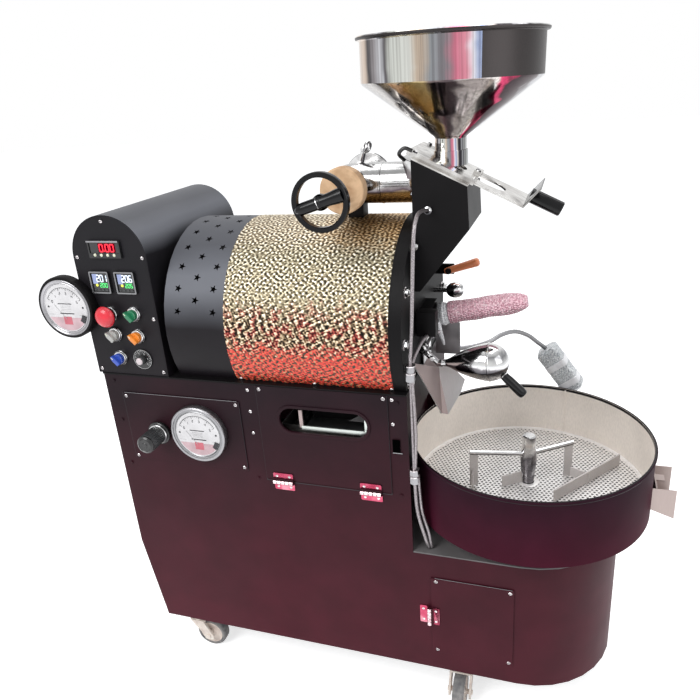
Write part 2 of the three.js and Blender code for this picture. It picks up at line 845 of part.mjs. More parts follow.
function driveGuard() {
  const shell = arcShell(guardLeft, guardRight - seatGap, coverR, coverWall);
  const stars = [];
  for (let column = 0; column < 3; column++) {
    const rows = column === 1 ? starRows - 1 : starRows;
    const shift = column === 1 ? starPitchDeg / 2 : 0;
    for (let row = 0; row < rows; row++) {
      const angle = THREE.MathUtils.degToRad(starFirstDeg + shift + row * starPitchDeg);
      const g = extruded(starShape(starR), overrun * 2);
      g.translate(0, 0, coverR - overrun);
      g.rotateX(Math.PI / 2 - angle);
      g.translate(starColumnX + column * starColumnPitch, centreY, drumCentreZ);
      stars.push(solid(g));
    }
  }
  return cut(shell, ...stars);
}

function drumCover() {
  const shell = arcShell(guardRight, coverRight - seatGap, coverR, coverWall);
  const trim = arcShell(coverRight - trimWidth, coverRight - seatGap * 2, coverR + trimProud, trimProud + coverWall / 2);
  return join(shell, trim);
}

// Round end plates that carry the drum bearings; each is cut off flat where it stands on the table.
function endPlate(x0, x1, r) {
  return cut(
    rod([x0, centreY, drumCentreZ], [x1, centreY, drumCentreZ], r, arcSides),
    block(x0 - overrun, x1 + overrun, centreY - r * 2, centreY + r * 2, drumCentreZ - r * 2, tableTop),
  );
}

function rearPlate() {
  const plate = endPlate(guardRight + coverWall, guardRight + coverWall + rearPlateThick, coverR - coverWall - runGap);
  const bearing = rod([guardRight + coverWall - bearingLength, centreY, drumCentreZ],
    [guardRight + coverWall + sheet, centreY, drumCentreZ], bearingR, 24);
  const bore = rod([guardRight - bearingLength - overrun, centreY, drumCentreZ],
    [guardRight + bearingLength + overrun, centreY, drumCentreZ], shaftR + seatGap, 24);
  return cut(join(plate, bearing), bore);
}

const faceBoltDegs = [-28, 0, 30, 60, 120, 150, 180, 208];
const tiltUp = [Math.cos(samplerTilt), 0, Math.sin(samplerTilt)];
const faceThick = faceRight - coverRight;

function facePlate() {
  const disc = endPlate(coverRight, faceRight, coverR + trimProud);
  const bolts = faceBoltDegs.map((deg) => {
    const a = THREE.MathUtils.degToRad(deg);
    const r = coverR - panelInset;
    const y = centreY - r * Math.cos(a);
    const z = drumCentreZ + r * Math.sin(a);
    return rod([faceRight - sheet, y, z], [faceRight + screwHead * 3, y, z], screwR * 2, 6);
  });
  const pocketBack = coverRight + faceThick / 2;
  const feedHole = block(coverRight - overrun, faceRight + overrun, chuteFront + chuteWall * 4,
    chuteBack - chuteWall * 4, chuteFootZ + chuteWall * 2, drumCentreZ + drumMouthR);
  const doorHole = block(coverRight - overrun, faceRight + overrun, doorY - doorWidth / 2 + doorThick,
    doorY + doorWidth / 2 - doorThick, tableTop + sheet, doorHingeZ - doorThick);
  const guide = join(
    block(pocketBack, faceRight + overrun, samplerY - guideSquare / 2 - overrun, samplerY + guideSquare / 2,
      samplerZ - guideSquare / 2, samplerZ + guideSquare / 2),
    rod([faceRight, samplerY, samplerZ], [samplerX - sheet * 2, samplerY, samplerZ], guideR, 24),
  );
  const lugY = sideLeverY + overrun / 2 + seatGap;
  const lug = join(
    block(pocketBack, sideLeverX + woodGripR, lugY, lugY + lugThick, sideLeverZ - woodGripR * 1.2,
      sideLeverZ + woodGripR * 1.2),
    rod([sideLeverX, lugY - runGap / 2 + seatGap * 2, sideLeverZ], [sideLeverX, lugY + lugThick + sheet, sideLeverZ], screwR * 1.5, 6),
  );
  const at = (t) => [samplerX + tiltUp[0] * t, samplerY, samplerZ + tiltUp[2] * t];
  const guideBore = rod(at(-samplerIn * 2), at(overrun), samplerTubeR + seatGap, 24);
  return cut(join(disc, ...bolts, guide, lug), feedHole, doorHole, guideBore);
}

function roastingDrum() {
  const body = turnedAlong(
    [
      [drumMouthR, drumRight],
      [drumR, drumRight],
      [drumR, drumLeft],
      [0, drumLeft],
      [0, drumLeft + drumWall],
      [drumR - drumWall, drumLeft + drumWall],
      [drumR - drumWall, drumRight - drumWall],
      [drumMouthR, drumRight - drumWall],
      [drumMouthR, drumRight],
    ],
    [0, 0, 0],
    [1, 0, 0],
    28,
  );
  const shaft = rod([drumLeft - (guardRight - guardLeft) + sheet, 0, 0], [drumLeft + hubLength, 0, 0], shaftR, 24);
  const hub = rod([drumLeft, 0, 0], [drumLeft + hubLength / 2, 0, 0], shaftR * 2, 24);
  const wheel = geometryOf(sprocket(sprocketR, sprocketTeeth, sprocketThick, 0));
  wheel.translate(sprocketX, 0, 0);
  const vanes = [];
  for (let i = 0; i < drumVanes; i++) {
    const a = (i / drumVanes) * Math.PI * 2;
    const g = new THREE.BoxGeometry(drumRight - drumLeft - drumWall, vaneThick, vaneHeight);
    g.translate((drumLeft + drumRight) / 2, 0, drumR - drumWall - vaneHeight / 2 + sheet);
    g.rotateX(a);
    vanes.push(solid(g));
  }
  return join(body, shaft, hub, solid(wheel), ...vanes);
}

// A toothed wheel about the X direction, centred on the origin of X.
function sprocket(r, teeth, thick, boreR) {
  const shape = new THREE.Shape();
  const step = (Math.PI * 2) / teeth;
  for (let i = 0; i < teeth; i++) {
    const a = i * step;
    const place = (reach, at) => [reach * Math.cos(at), reach * Math.sin(at)];
    if (i === 0) shape.moveTo(...place(r - toothDepth, a));
    else shape.lineTo(...place(r - toothDepth, a));
    shape.lineTo(...place(r, a + step * 0.35));
    shape.lineTo(...place(r, a + step * 0.6));
  }
  shape.closePath();
  if (boreR) {
    const bore = new THREE.Path();
    bore.absarc(0, 0, boreR, 0, Math.PI * 2, true);
    shape.holes.push(bore);
  }
  const g = extruded(shape, thick);
  g.translate(0, 0, -thick / 2);
  g.rotateY(Math.PI / 2);
  return solid(g);
}

// A chain drawn as one stadium loop round both sprockets.
function driveChain() {
  const drop = drumCentreZ - motorCentreZ;
  const big = sprocketR + chainClear;
  const small = motorSprocketR + chainClear;
  const lean = Math.asin((big - small) / drop);
  const outline = (grow) => {
    const shape = new THREE.Shape();
    shape.absarc(0, 0, big + grow, -lean, Math.PI + lean, false);
    shape.absarc(0, -drop, small + grow, Math.PI + lean, Math.PI * 2 - lean, false);
    shape.closePath();
    return shape;
  };
  const shape = outline(chainThick);
  shape.holes.push(new THREE.Path(outline(0).getPoints(16)));
  const g = extruded(shape, chainWidth, 16);
  g.translate(0, 0, -chainWidth / 2);
  g.rotateY(Math.PI / 2);
  g.rotateX(Math.PI / 2);
  g.translate(sprocketX, centreY, drumCentreZ);
  return solid(g);
}

function driveMotor() {
  const x1 = sprocketX - sprocketThick / 2 - sheet;
  const x0 = x1 - motorLength;
  const body = turnedAlong(
    [[0, x0], [motorR, x0], [motorR, x1 - overrun], [motorR * 0.7, x1 - overrun], [motorR * 0.7, x1 - sheet], [0, x1 - sheet]],
    [0, centreY, motorCentreZ],
    [1, 0, 0],
    20,
  );
  const foot = block(x0 + sheet, x1 - overrun - sheet, centreY - motorR, centreY + motorR, motorCentreZ - motorR - sheet * 2,
    motorCentreZ - motorR + sheet * 3);
  const bed = block(x0 + sheet, x1 - overrun - sheet, sheet + seatGap, cabinetDepth - sheet - seatGap,
    motorCentreZ - motorR - sheet * 4, motorCentreZ - motorR - sheet);
  return join(body, foot, bed);
}

function burner() {
  const cx = (accessLeft + accessRight) / 2;
  const x0 = cx - burnerTrayWidth / 2;
  const x1 = cx + burnerTrayWidth / 2;
  const y0 = sheet + overrun;
  const y1 = y0 + burnerTrayDepth;
  const tray = cut(
    block(x0, x1, y0, y1, burnerZ, burnerZ + burnerTrayHeight),
    block(x0 + sheet, x1 - sheet, y0 + sheet, y1 - sheet, burnerZ + sheet, burnerZ + overrun * 2),
  );
  const bars = [];
  for (let i = 0; i < burnerBarCount; i++) {
    const x = x0 + ((i + 0.5) * burnerTrayWidth) / burnerBarCount;
    bars.push(rod([x, y0 + sheet, burnerZ + burnerPipeR + sheet / 2], [x, y1 - sheet / 2, burnerZ + burnerPipeR + sheet / 2],
      burnerPipeR, 12));
  }
  const manifold = rod([x0 + sheet, y1, burnerZ + burnerPipeR + sheet / 2], [x1 - sheet, y1,
    burnerZ + burnerPipeR + sheet / 2], burnerPipeR, 12);
  const rails = [sheet, cabinetDepth - sheet - overrun].map((y) =>
    block(accessLeft, nicheX - sheet, y, y + overrun, burnerZ - railHeight, burnerZ + sheet / 2));
  const cross = [x0, x1 - overrun].map((x) =>
    block(x, x + overrun, sheet + overrun / 2, cabinetDepth - sheet - overrun / 2, burnerZ - sheet, burnerZ + sheet / 2));
  return join(tray, ...bars, manifold, ...rails, ...cross);
}

// Feed chute: a box that leans off the face plate and lets the beans slide into the drum.
const chuteOutline = (inset) => [
  [faceRight + inset, chuteFootZ - overrun / 2 + inset],
  [faceRight + inset, chuteTopLeftZ - inset],
  [faceRight + inset * 2, chuteTopLeftZ - inset],
  [chuteTopRightX - inset, chuteTopRightZ - inset],
  [chuteNoseX - inset, chuteNoseZ + inset],
  [chuteFootX, chuteFootZ - overrun / 2 + inset],
];

function feedChute() {
  const outer = upright(chuteOutline(0), chuteFront, chuteBack);
  const inner = upright(chuteOutline(chuteWall), chuteFront + chuteWall, chuteBack - chuteWall);
  const mouth = rod([neckX, centreY, chuteNoseZ], [neckX, centreY, chuteTopLeftZ + overrun], neckR - hopperWall, 32);
  const outlet = block(faceRight - overrun, faceRight + chuteWall * 2, chuteFront + chuteWall * 4,
    chuteBack - chuteWall * 4, chuteFootZ + chuteWall * 2, drumCentreZ + drumMouthR);
  return cut(outer, inner, mouth, outlet);
}

// The sloped stainless top of the chute carries the neck and the rails of the gate.
const slope = Math.atan2(chuteTopLeftZ - chuteTopRightZ, chuteTopRightX - faceRight);
const downhill = [Math.cos(slope), 0, -Math.sin(slope)];
const topAt = (x) => chuteTopLeftZ - (x - faceRight) * Math.tan(slope);

// Places a solid drawn flat, with X downhill and Z square to the slope, on the chute's top at x.
function onSlope(manifold, x) {
  const g = geometryOf(manifold);
  g.rotateY(slope);
  g.translate(x, 0, topAt(x));
  return solid(g);
}

const gateFloor = topPlate + seatGap;
const gateTop = gateFloor + gatePlate + seatGap;

function gateHousing() {
  const uphill = (neckX - faceRight) / Math.cos(slope);
  const bottomEnd = (chuteTopRightX - neckX) / Math.cos(slope);
  const base = block(-uphill, bottomEnd, chuteFront, chuteBack, seatGap, topPlate);
  const rail = (y0, y1) => block(-neckR - railUphill, bottomEnd + gateRail, y0, y1, topPlate - seatGap, gateTop);
  const lid = block(-neckR - railUphill, bottomEnd + gateRail, centreY - gateWidth / 2 - gateRail,
    centreY + gateWidth / 2 + gateRail, gateTop, gateTop + topPlate);
  const flat = join(
    base,
    rail(centreY - gateWidth / 2 - gateRail, centreY - gateWidth / 2 - seatGap),
    rail(centreY + gateWidth / 2 + seatGap, centreY + gateWidth / 2 + gateRail),
    lid,
  );
  const clamp = block(bottomEnd - gateRail, bottomEnd + gateRail, centreY - gateRail, centreY + gateRail,
    gateTop + sheet, gateTop + topPlate * 3);
  const neck = cut(
    rod([neckX, centreY, topAt(neckX) + gateTop], [neckX, centreY, hopperConeZ - overrun], neckR + sheet + seatGap, 32),
    onSlope(block(-neckR * 3, neckR * 3, centreY - neckR * 2, centreY + neckR * 2, -neckR * 3, gateTop + sheet / 2), neckX),
  );
  const bore = rod([neckX, centreY, chuteNoseZ], [neckX, centreY, hopperConeZ + overrun], neckR + seatGap, 32);
  return cut(join(onSlope(join(flat, clamp), neckX), neck), bore);
}

// The gate is drawn shut; pushed up the slope by its travel, its hole comes under the neck.
function hopperGate() {
  const half = gateWidth / 2 - seatGap * 3;
  const start = -gateCover;
  const plate = block(start, start + gateReach, centreY - half, centreY + half, gateFloor + seatGap,
    gateFloor + gatePlate - seatGap);
  const slot = join(
    block(gateTravel - gateSlotLength / 2, gateTravel + gateSlotLength / 2, centreY - slotWidth / 2,
      centreY + slotWidth / 2, -overrun, overrun * 2),
    ...[-1, 1].map((side) =>
      rod([gateTravel + side * gateSlotLength / 2, centreY, -overrun], [gateTravel + side * gateSlotLength / 2, centreY,
        overrun * 2], slotWidth / 2, 20)),
  );
  const end = start + gateReach;
  const flange = block(end - sheet, end, centreY - half, centreY + half, gateFloor + seatGap, gateFloor + gateFlange);
  const handle = rod([end - sheet / 2, centreY, gateFlange / 2.2], [end + gateHandleLength, centreY, gateFlange / 2.2],
    gateHandleR, 20);
  return onSlope(join(cut(plate, slot), flange, handle), neckX);
}

function hopper() {
  const neckFoot = topAt(neckX) + gateTop + neckR / 2;
  const profile = [
    [neckR, neckFoot],
    [neckR, hopperConeZ],
    [hopperR, hopperCylZ],
    [hopperR, hopperRimZ - rimTubeR * 2],
    [hopperRimR, hopperRimZ - rimTubeR],
    [hopperRimR, hopperRimZ],
    [hopperR - hopperWall, hopperRimZ],
    [hopperR - hopperWall, hopperCylZ + hopperWall],
    [neckR - hopperWall, hopperConeZ + hopperWall],
    [neckR - hopperWall, neckFoot],
    [neckR, neckFoot],
  ];
  return turned(profile, [neckX, centreY, 0], 36);
}

function exhaustDuct() {
  const pipe = turnedAlong(
    [[0, -ductR * 1.15], [ductR * 0.55, -ductR * 1.05], [ductR * 0.9, -ductR * 0.62], [ductR, 0],
      [ductR, faceRight - ductX - ductFlange], [ductFlangeR, faceRight - ductX - ductFlange],
      [ductFlangeR, faceRight - ductX - seatGap], [0, faceRight - ductX - seatGap]],
    [ductX, centreY, ductZ],
    [1, 0, 0],
    24,
  );
  const port = rod([ductX, centreY, ductZ], [ductX, ductPortFront, ductZ], ductRiseR, 20);
  const stub = rod([ductX, centreY, ductZ], [ductX, centreY * 2 - ductPortFront + overrun, ductZ], ductRiseR, 20);
  const rearFlange = rod([ductX, cabinetDepth - ductPortFront + overrun - ductFlange, ductZ],
    [ductX, cabinetDepth - ductPortFront + overrun, ductZ], ductFlangeR, 24);
  const bore = join(
    rod([ductX - ductR * 0.7, centreY, ductZ], [faceRight + overrun, centreY, ductZ], ductR - ductWall, 24),
    rod([ductX, centreY, ductZ], [ductX, cabinetDepth, ductZ], ductRiseR - ductWall, 20),
  );
  const shaftBore = rod([ductX, -overrun, ductZ], [ductX, centreY, ductZ], damperShaftR + seatGap, 20);
  const lean = [Math.sin(wingTilt), 0, Math.cos(wingTilt)];
  const at = (t) => [ductX + lean[0] * t, centreY, ductZ + lean[2] * t];
  const wing = join(
    rod(at(ductR - ductWall), at(ductR + wingReach), wingBoltR, 12),
    rod(at(ductR), at(ductR + wingReach / 3), wingBoltR * 2, 6),
    rod([at(ductR + wingReach)[0], centreY - wingSpan, at(ductR + wingReach)[2]],
      [at(ductR + wingReach)[0], centreY + wingSpan, at(ductR + wingReach)[2]], wingBoltR, 12),
  );
  const saddle = block(ductX - ductRiseR / 2, ductX + ductRiseR / 2, centreY - ductRiseR / 2, centreY + ductRiseR / 2,
    drumCentreZ + coverR + seatGap, ductZ - ductR + ductWall);
  return join(cut(join(pipe, port, stub, rearFlange), bore, shaftBore), wing, saddle);
}

function insulatingDisc() {
  const disc = rod([ductX, ductPortFront - discThick - seatGap, ductZ], [ductX, ductPortFront - seatGap, ductZ], discR, 24);
  return cut(disc, rod([ductX, -overrun, ductZ], [ductX, ductPortFront + overrun, ductZ], damperShaftR + seatGap, 20));
}

// Handwheel, shaft and butterfly flap turn together about Y.
function damperWheel() {
  const rim = cut(
    rod([0, wheelY - wheelThick / 2, 0], [0, wheelY + wheelThick / 2, 0], wheelR, 28),
    rod([0, wheelY - wheelThick, 0], [0, wheelY + wheelThick, 0], wheelR - wheelRim, 28),
  );
  const a = THREE.MathUtils.degToRad(17.5);
  const reach = wheelR - wheelRim / 2;
  const spoke = rod([-reach * Math.cos(a), wheelY, -reach * Math.sin(a)], [reach * Math.cos(a), wheelY,
    reach * Math.sin(a)], spokeR, 16);
  const shaft = rod([0, wheelY, 0], [0, centreY + flapR * 0.8, 0], damperShaftR, 16);
  const flap = rod([0, centreY, -flapThick / 2], [0, centreY, flapThick / 2], flapR, 20);
  return join(rim, spoke, shaft, flap);
}

function sampler() {
  const at = (t) => [tiltUp[0] * t, 0, tiltUp[2] * t];
  return join(
    rod(at(-samplerIn), at(seatGap), samplerTubeR, 16),
    rod(at(seatGap), at(overrun), samplerGripR * 0.8, 20, samplerGripR),
    rod(at(overrun - sheet / 2), at(samplerGripLength), samplerGripR, 20),
  );
}

// Discharge door: hangs on a pin across the face plate and swings out; its weighted lever keeps it shut.
function dischargeDoor() {
  const leaf = block(faceRight + seatGap, faceRight + seatGap + doorThick, doorY - doorWidth / 2, doorY + doorWidth / 2,
    tableTop + sheet, doorHingeZ);
  const pinX = faceRight + seatGap + doorThick;
  const pin = rod([pinX, ballY - leverHandleR, doorHingeZ], [pinX, doorY + doorWidth / 2, doorHingeZ], doorThick, 16);
  const root = [pinX + doorThick, ballY, doorHingeZ - doorThick];
  const ballAt = [ballX, ballY, ballZ];
  const toBall = new THREE.Vector3(...ballAt).sub(new THREE.Vector3(...root));
  const length = toBall.length();
  const pear = turnedAlong(
    [[0, 0], [leverHandleR * 0.8, 0], [leverHandleR, length * 0.2], [ballR * 0.55, length * 0.52],
      [ballR * 0.9, length * 0.8], [ballR, length], [ballR * 0.92, length + ballR * 0.4],
      [ballR * 0.7, length + ballR * 0.72], [ballR * 0.35, length + ballR * 0.94], [0, length + ballR]],
    root,
    toBall.toArray(),
    16,
  );
  const lean = [Math.cos(leverHandleTilt), 0, -Math.sin(leverHandleTilt)];
  const handle = rod([ballX + lean[0] * ballR * 0.7, ballY, ballZ + lean[2] * ballR * 0.7],
    [ballX + lean[0] * (ballR + leverHandleLength), ballY, ballZ + lean[2] * (ballR + leverHandleLength)],
    leverHandleR, 16);
  const stem = rod([pinX, ballY, doorHingeZ], root, leverHandleR * 0.8, 12);
  return join(leaf, pin, stem, pear, handle);
}

// A flat plate through the given corners, thickened by the given offset.
function plateThrough(corners, offset) {
  const n = corners.length;
  const all = [...corners, ...corners.map((c) => c.map((v, i) => v + offset[i]))];
  const faces = [];
  for (let i = 1; i < n - 1; i++) faces.push(0, i, i + 1, n, n + i + 1, n + i);
  for (let i = 0; i < n; i++) {
    const k = (i + 1) % n;
    faces.push(i, n + i, n + k, i, n + k, k);
  }
  const g = new THREE.BufferGeometry();
  g.setAttribute("position", new THREE.BufferAttribute(new Float32Array(all.flat()), 3));
  g.setIndex(faces);
  const made = solid(g);
  if (made.volume() > 0) return made;
  g.setIndex(faces.map((_, i) => faces[i - (i % 3) + (2 - (i % 3))]));
  return solid(g);
}

// Two plates in a V that drop the beans from the door into the bin, on a lip under the door.
function dischargeSpout() {
  const left = plateThrough([spoutFront, spoutValleyTop, spoutValleyFoot], [spoutSheet, -spoutSheet / 2, 0]);
  const right = plateThrough([spoutValleyTop, ...spoutRight, spoutValleyFoot], [0, spoutSheet, 0]);
  const sill = [upperLength + spoutSheet / 2, tableTop - sheet * 3];
  const ramp = plateThrough([[sill[0], doorY - doorWidth / 2, sill[1]], [sill[0], doorY + doorWidth / 2, sill[1]],
    spoutValleyTop, [(sill[0] + spoutValleyTop[0]) / 2, doorY - doorWidth / 3, sill[1] - sheet]], [0, 0, -spoutSheet]);
  const lip = block(upperLength, upperLength + spoutSheet, doorY - doorWidth / 2 - sheet, doorY + doorWidth / 2 + sheet,
    tableTop - spoutLip, tableTop - sheet);
  const spine = rod(spoutValleyFoot, spoutValleyTop, spoutSheet * 1.2, 8);
  return join(left, right, ramp, lip, spine);
}

function sideLever() {
  const reach = woodGripLength;
  const lean = [Math.cos(sideLeverTilt), 0, Math.sin(sideLeverTilt)];
  return join(
    rod([0, -overrun / 2, 0], [0, overrun / 2, 0], woodGripR, 16),
    rod([0, 0, 0], [lean[0] * overrun * 2, 0, lean[2] * overrun * 2], screwR, 12),
    rod([lean[0] * overrun, 0, lean[2] * overrun], [lean[0] * (overrun + reach), 0, lean[2] * (overrun + reach)],
      woodGripR * 0.75, 16, woodGripR),
    ball([lean[0] * (overrun + reach), 0, lean[2] * (overrun + reach)], woodGripR, 8),
  );
}

function latchKnob() {
  return turnedAlong([[0, 0], [screwR, 0], [screwR, latchX - faceRight - latchKnobR],
    [latchKnobR * 0.8, latchX - faceRight - latchKnobR], [latchKnobR, latchX - faceRight - latchKnobR / 2],
    [latchKnobR, latchX - faceRight + latchKnobR / 2], [latchKnobR * 0.6, latchX - faceRight + latchKnobR],
    [0, latchX - faceRight + latchKnobR]], [0, 0, 0], [1, 0, 0], 20);
}

function lamp() {
  const end = lampTip.map((c, i) => c + lampAim[i] * lampHeadLength);
  const conduit = tube(
    [
      [lampRoot[0] + seatGap, lampRoot[1], lampRoot[2]],
      ...conduitRoute,
      lampTip,
    ],
    conduitR,
    22,
  );
  return join(
    conduit,
    rod(lampTip.map((c, i) => c - lampAim[i] * sheet), lampTip.map((c, i) => c + lampAim[i] * overrun),
      conduitR * 1.6, 20, lampHeadR),
    rod(lampTip.map((c, i) => c + lampAim[i] * (overrun - sheet)), end, lampHeadR, 20),
  );
}

function sensorLeads() {
  const x = upperLength + ferruleR;
  const y = sheet;
  const upper = tube(leadUpper, leadR * 1.2, 18);
  const nut = (z) => rod([x, y, z - ferruleLength / 2], [x, y, z + ferruleLength / 2], ferruleR, 6);
  const lower = tube(leadLowerEnds.map((z) => [x, y, z]), leadR * 1.6, 2);
  const tail = tube(leadTail, leadR * 1.6, 9);
  return join(upper, ...leadNuts.map(nut), lower, tail);
}

function binShell() {
  const inside = binR - binWall;
  const ledge = binFloorZ - seatGap;
  const wall = turned(
    [
      [plenumR - sheet * 2, binBottom],
      [binR, binBottom],
      [binR, binRim - binLip],
      [binR + binLip / 2, binRim - binLip],
      [binR + binLip / 2, binRim],
      [inside, binRim],
      [inside, ledge],
      [inside - binWall * 3, ledge],
      [inside - binWall * 3, ledge - binWall],
      [inside, ledge - binWall],
      [inside, binBottom + binWall],
      [plenumR - sheet * 2, binBottom + binWall],
      [plenumR - sheet * 2, binBottom],
    ],
    [binX, centreY, 0],
    binSides,
  );
  const gateHole = block(binX, binX + binR * 2, centreY - outletWidth / 2 + outletSheet,
    centreY + outletWidth / 2 - outletSheet, binFloorZ + binFloorThick + seatGap,
    binFloorZ + outletHeight - outletSheet);
  return cut(wall, gateHole);
}

function binFloor() {
  const plate = rod([binX, centreY, binFloorZ], [binX, centreY, binFloorZ + binFloorThick],
    binR - binWall - seatGap * 3, binSides);
  const holes = [rod([binX, centreY, binFloorZ - overrun], [binX, centreY, binFloorZ + overrun], hubHoleR, 20)];
  for (let ring = 1; ring <= holeRings; ring++) {
    const r = hubHoleR + ring * holePitch;
    const count = ring * 6;
    for (let i = 0; i < count; i++) {
      const a = (i / count) * Math.PI * 2 + ring * 0.4;
      const x = binX + r * Math.cos(a);
      const y = centreY + r * Math.sin(a);
      holes.push(rod([x, y, binFloorZ - overrun], [x, y, binFloorZ + overrun], holeR, 5));
    }
  }
  return cut(plate, ...holes);
}

// Post, crossbar and paddles turn together about the bin's upright axis.
function stirrer() {
  const floor = binFloorZ + binFloorThick + floorClear;
  const a = THREE.MathUtils.degToRad(crossbarDeg);
  const along = [Math.cos(a), Math.sin(a)];
  const across = [-along[1], along[0]];
  const at = (t, s = 0) => [along[0] * t + across[0] * s, along[1] * t + across[1] * s];
  const post = turned(
    [[0, binFloorZ - overrun * 2], [hubHoleR - runGap, binFloorZ - overrun * 2], [hubHoleR - runGap, floor],
      [postR * 1.1, floor], [postR * 1.3, (floor + postTop) / 2], [postR, postTop - overrun], [postR, postTop - sheet],
      [postR - sheet, postTop], [0, postTop]],
    [0, 0, 0],
    24,
  );
  const bar = rod([...at(-crossbarLeft), crossbarZ], [...at(crossbarRight), crossbarZ], crossbarR, 12);
  const plate = (from, to, z0, z1) => {
    const length = Math.hypot(to[0] - from[0], to[1] - from[1]);
    const g = new THREE.BoxGeometry(length, paddleThick, z1 - z0);
    g.rotateZ(Math.atan2(to[1] - from[1], to[0] - from[0]));
    g.translate((from[0] + to[0]) / 2, (from[1] + to[1]) / 2, (z0 + z1) / 2);
    return solid(g);
  };
  const hanger = (t) => plate(at(t - sidePaddle / 5), at(t + sidePaddle / 5), floor + sheet, crossbarZ);
  const leftPaddle = plate(at(-crossbarLeft, -sidePaddle / 2), at(-crossbarLeft + sidePaddle / 3, sidePaddle / 2), floor,
    floor + paddleHeight * 1.6);
  const longPlate = plate(at(...longPaddleFrom), at(...longPaddleTo), floor, floor + paddleHeight);
  const innerPlate = plate(at(-sidePaddle * 1.4, -sidePaddle / 3), at(-postR / 2, 0), floor, floor + paddleHeight);
  const link = plate(at(...linkFrom), at(...linkTo), floor, floor + paddleHeight * 0.9);
  return join(post, bar, link, hanger(-crossbarLeft + sidePaddle / 5), hanger(crossbarRight - sidePaddle / 5), leftPaddle,
    longPlate, innerPlate);
}

function binOutlet() {
  const x0 = Math.sqrt(binR ** 2 - (outletWidth / 2) ** 2);
  const half = outletWidth / 2;
  const z0 = binFloorZ;
  const z1 = binFloorZ + outletHeight;
  const x1 = binR + outletReach;
  const side = (y0, y1) =>
    upright([[binX + x0 - sheet, z0 - outletSheet], [binX + x1, z0 - outletDrop - outletSheet], [binX + x1, z1],
      [binX + x0 - sheet, z1]], y0, y1);
  const pan = upright([[binX + x0 - sheet, z0 - outletSheet], [binX + x1, z0 - outletDrop - outletSheet],
    [binX + x1, z0 - outletDrop], [binX + x0 - sheet, z0]], centreY - half, centreY + half);
  const body = join(side(centreY - half, centreY - half + outletSheet), side(centreY + half - outletSheet, centreY + half),
    pan);
  return cut(body, rod([binX, centreY, binBottom - overrun * 4], [binX, centreY, binRim], binR + seatGap, binSides));
}

function binGate() {
  const half = outletWidth / 2 - outletSheet - seatGap * 2;
  const plate = block(binX + binR + sheet, binX + binR + sheet + binGateThick, centreY - half, centreY + half,
    binFloorZ + seatGap, binFloorZ + outletHeight);
  const tab = block(binX + binR + sheet, binX + binR + overrun, centreY - overrun / 2, centreY + overrun / 2,
    binFloorZ + outletHeight - binGateThick, binFloorZ + outletHeight);
  return join(plate, tab);
}

function stirrerMotor() {
  const top = binFloorZ - overrun * 2 - seatGap;
  const body = turned(
    [[0, top - stirMotorLength], [stirMotorR, top - stirMotorLength], [stirMotorR, top - overrun],
      [stirMotorR * 0.6, top - overrun], [stirMotorR * 0.6, top], [0, top]],
    [binX, centreY, 0],
    24,
  );
  const bridge = block(binX - plenumR + sheet * 3, binX + plenumR - sheet * 3, centreY - overrun, centreY + overrun,
    shelfUnder - sheet * 4, shelfUnder - sheet);
  const ear = plenumR - sheet * 4 - overrun / 4;
  const ears = [-1, 1].map((side) =>
    block(binX + side * ear - overrun / 4, binX + side * ear + overrun / 4, centreY - overrun, centreY + overrun,
      shelfUnder - sheet * 2, shelfUnder));
  return join(body, bridge, ...ears);
}

function coolingFan() {
  const z = underside + frameTube + fanR + sheet;
  const x = binX - sheet;
  const housing = cut(
    rod([x, centreY - fanWidth / 2, z], [x, centreY + fanWidth / 2, z], fanR, 24),
    rod([x, centreY - fanWidth / 2 - overrun, z], [x, centreY + fanWidth / 2 - fanSheet, z], fanR * 0.45, 16),
  );
  const foot = block(x - fanR * 0.8, x + fanR * 0.8, centreY - fanWidth / 2, centreY + fanWidth / 2,
    underside + frameTube, z - fanR * 0.6);
  const feet = block(endCentreX - frameTube, endCentreX, sheet + seatGap, cabinetDepth - sheet - seatGap,
    underside + frameTube, underside + frameTube + sheet * 2);
  const motor = rod([x, centreY + fanWidth / 2 - sheet, z], [x, centreY + fanWidth, z], fanR * 0.5, 16);
  return join(housing, foot, feet, motor);
}

// Castors: the fork turns about its upright stem and the wheel about its axle.
const axleZ = castorWheelR;

function castorFork() {
  const half = castorWheelWidth / 2 + runGap;
  const crownZ = castorWheelR * 2 + runGap;
  const cheek = (y0, y1) =>
    upright([[castorOffset - castorAxleR * 2, axleZ - castorAxleR * 2], [castorOffset + castorAxleR * 2,
      axleZ - castorAxleR * 2], [castorOffset + castorAxleR * 2.4, axleZ], [castorNeckR, crownZ + forkSheet],
    [-castorNeckR, crownZ + forkSheet], [castorOffset - castorAxleR * 2.4, axleZ]], y0, y1);
  const crown = block(-castorNeckR * 1.1, castorNeckR * 1.3, -half - forkSheet / 2, half + forkSheet / 2, crownZ,
    crownZ + forkSheet * 1.2);
  const stem = rod([0, 0, crownZ + forkSheet / 2], [0, 0, underside - seatGap], castorNeckR, 12);
  const axle = rod([castorOffset, -half - forkSheet * 1.6, axleZ], [castorOffset, half + forkSheet * 1.6, axleZ],
    castorAxleR, 8);
  return join(cheek(-half - forkSheet, -half), cheek(half, half + forkSheet), crown, stem, axle);
}

function castorWheel() {
  const half = castorWheelWidth / 2;
  const flat = castorWheelR - sheet;
  return turnedAlong([[castorAxleR + seatGap, -half], [flat, -half], [castorWheelR, -half + sheet],
    [castorWheelR, half - sheet], [flat, half], [castorAxleR + seatGap, half], [castorAxleR + seatGap, -half]],
  [0, 0, 0], [0, 1, 0], 16);
}

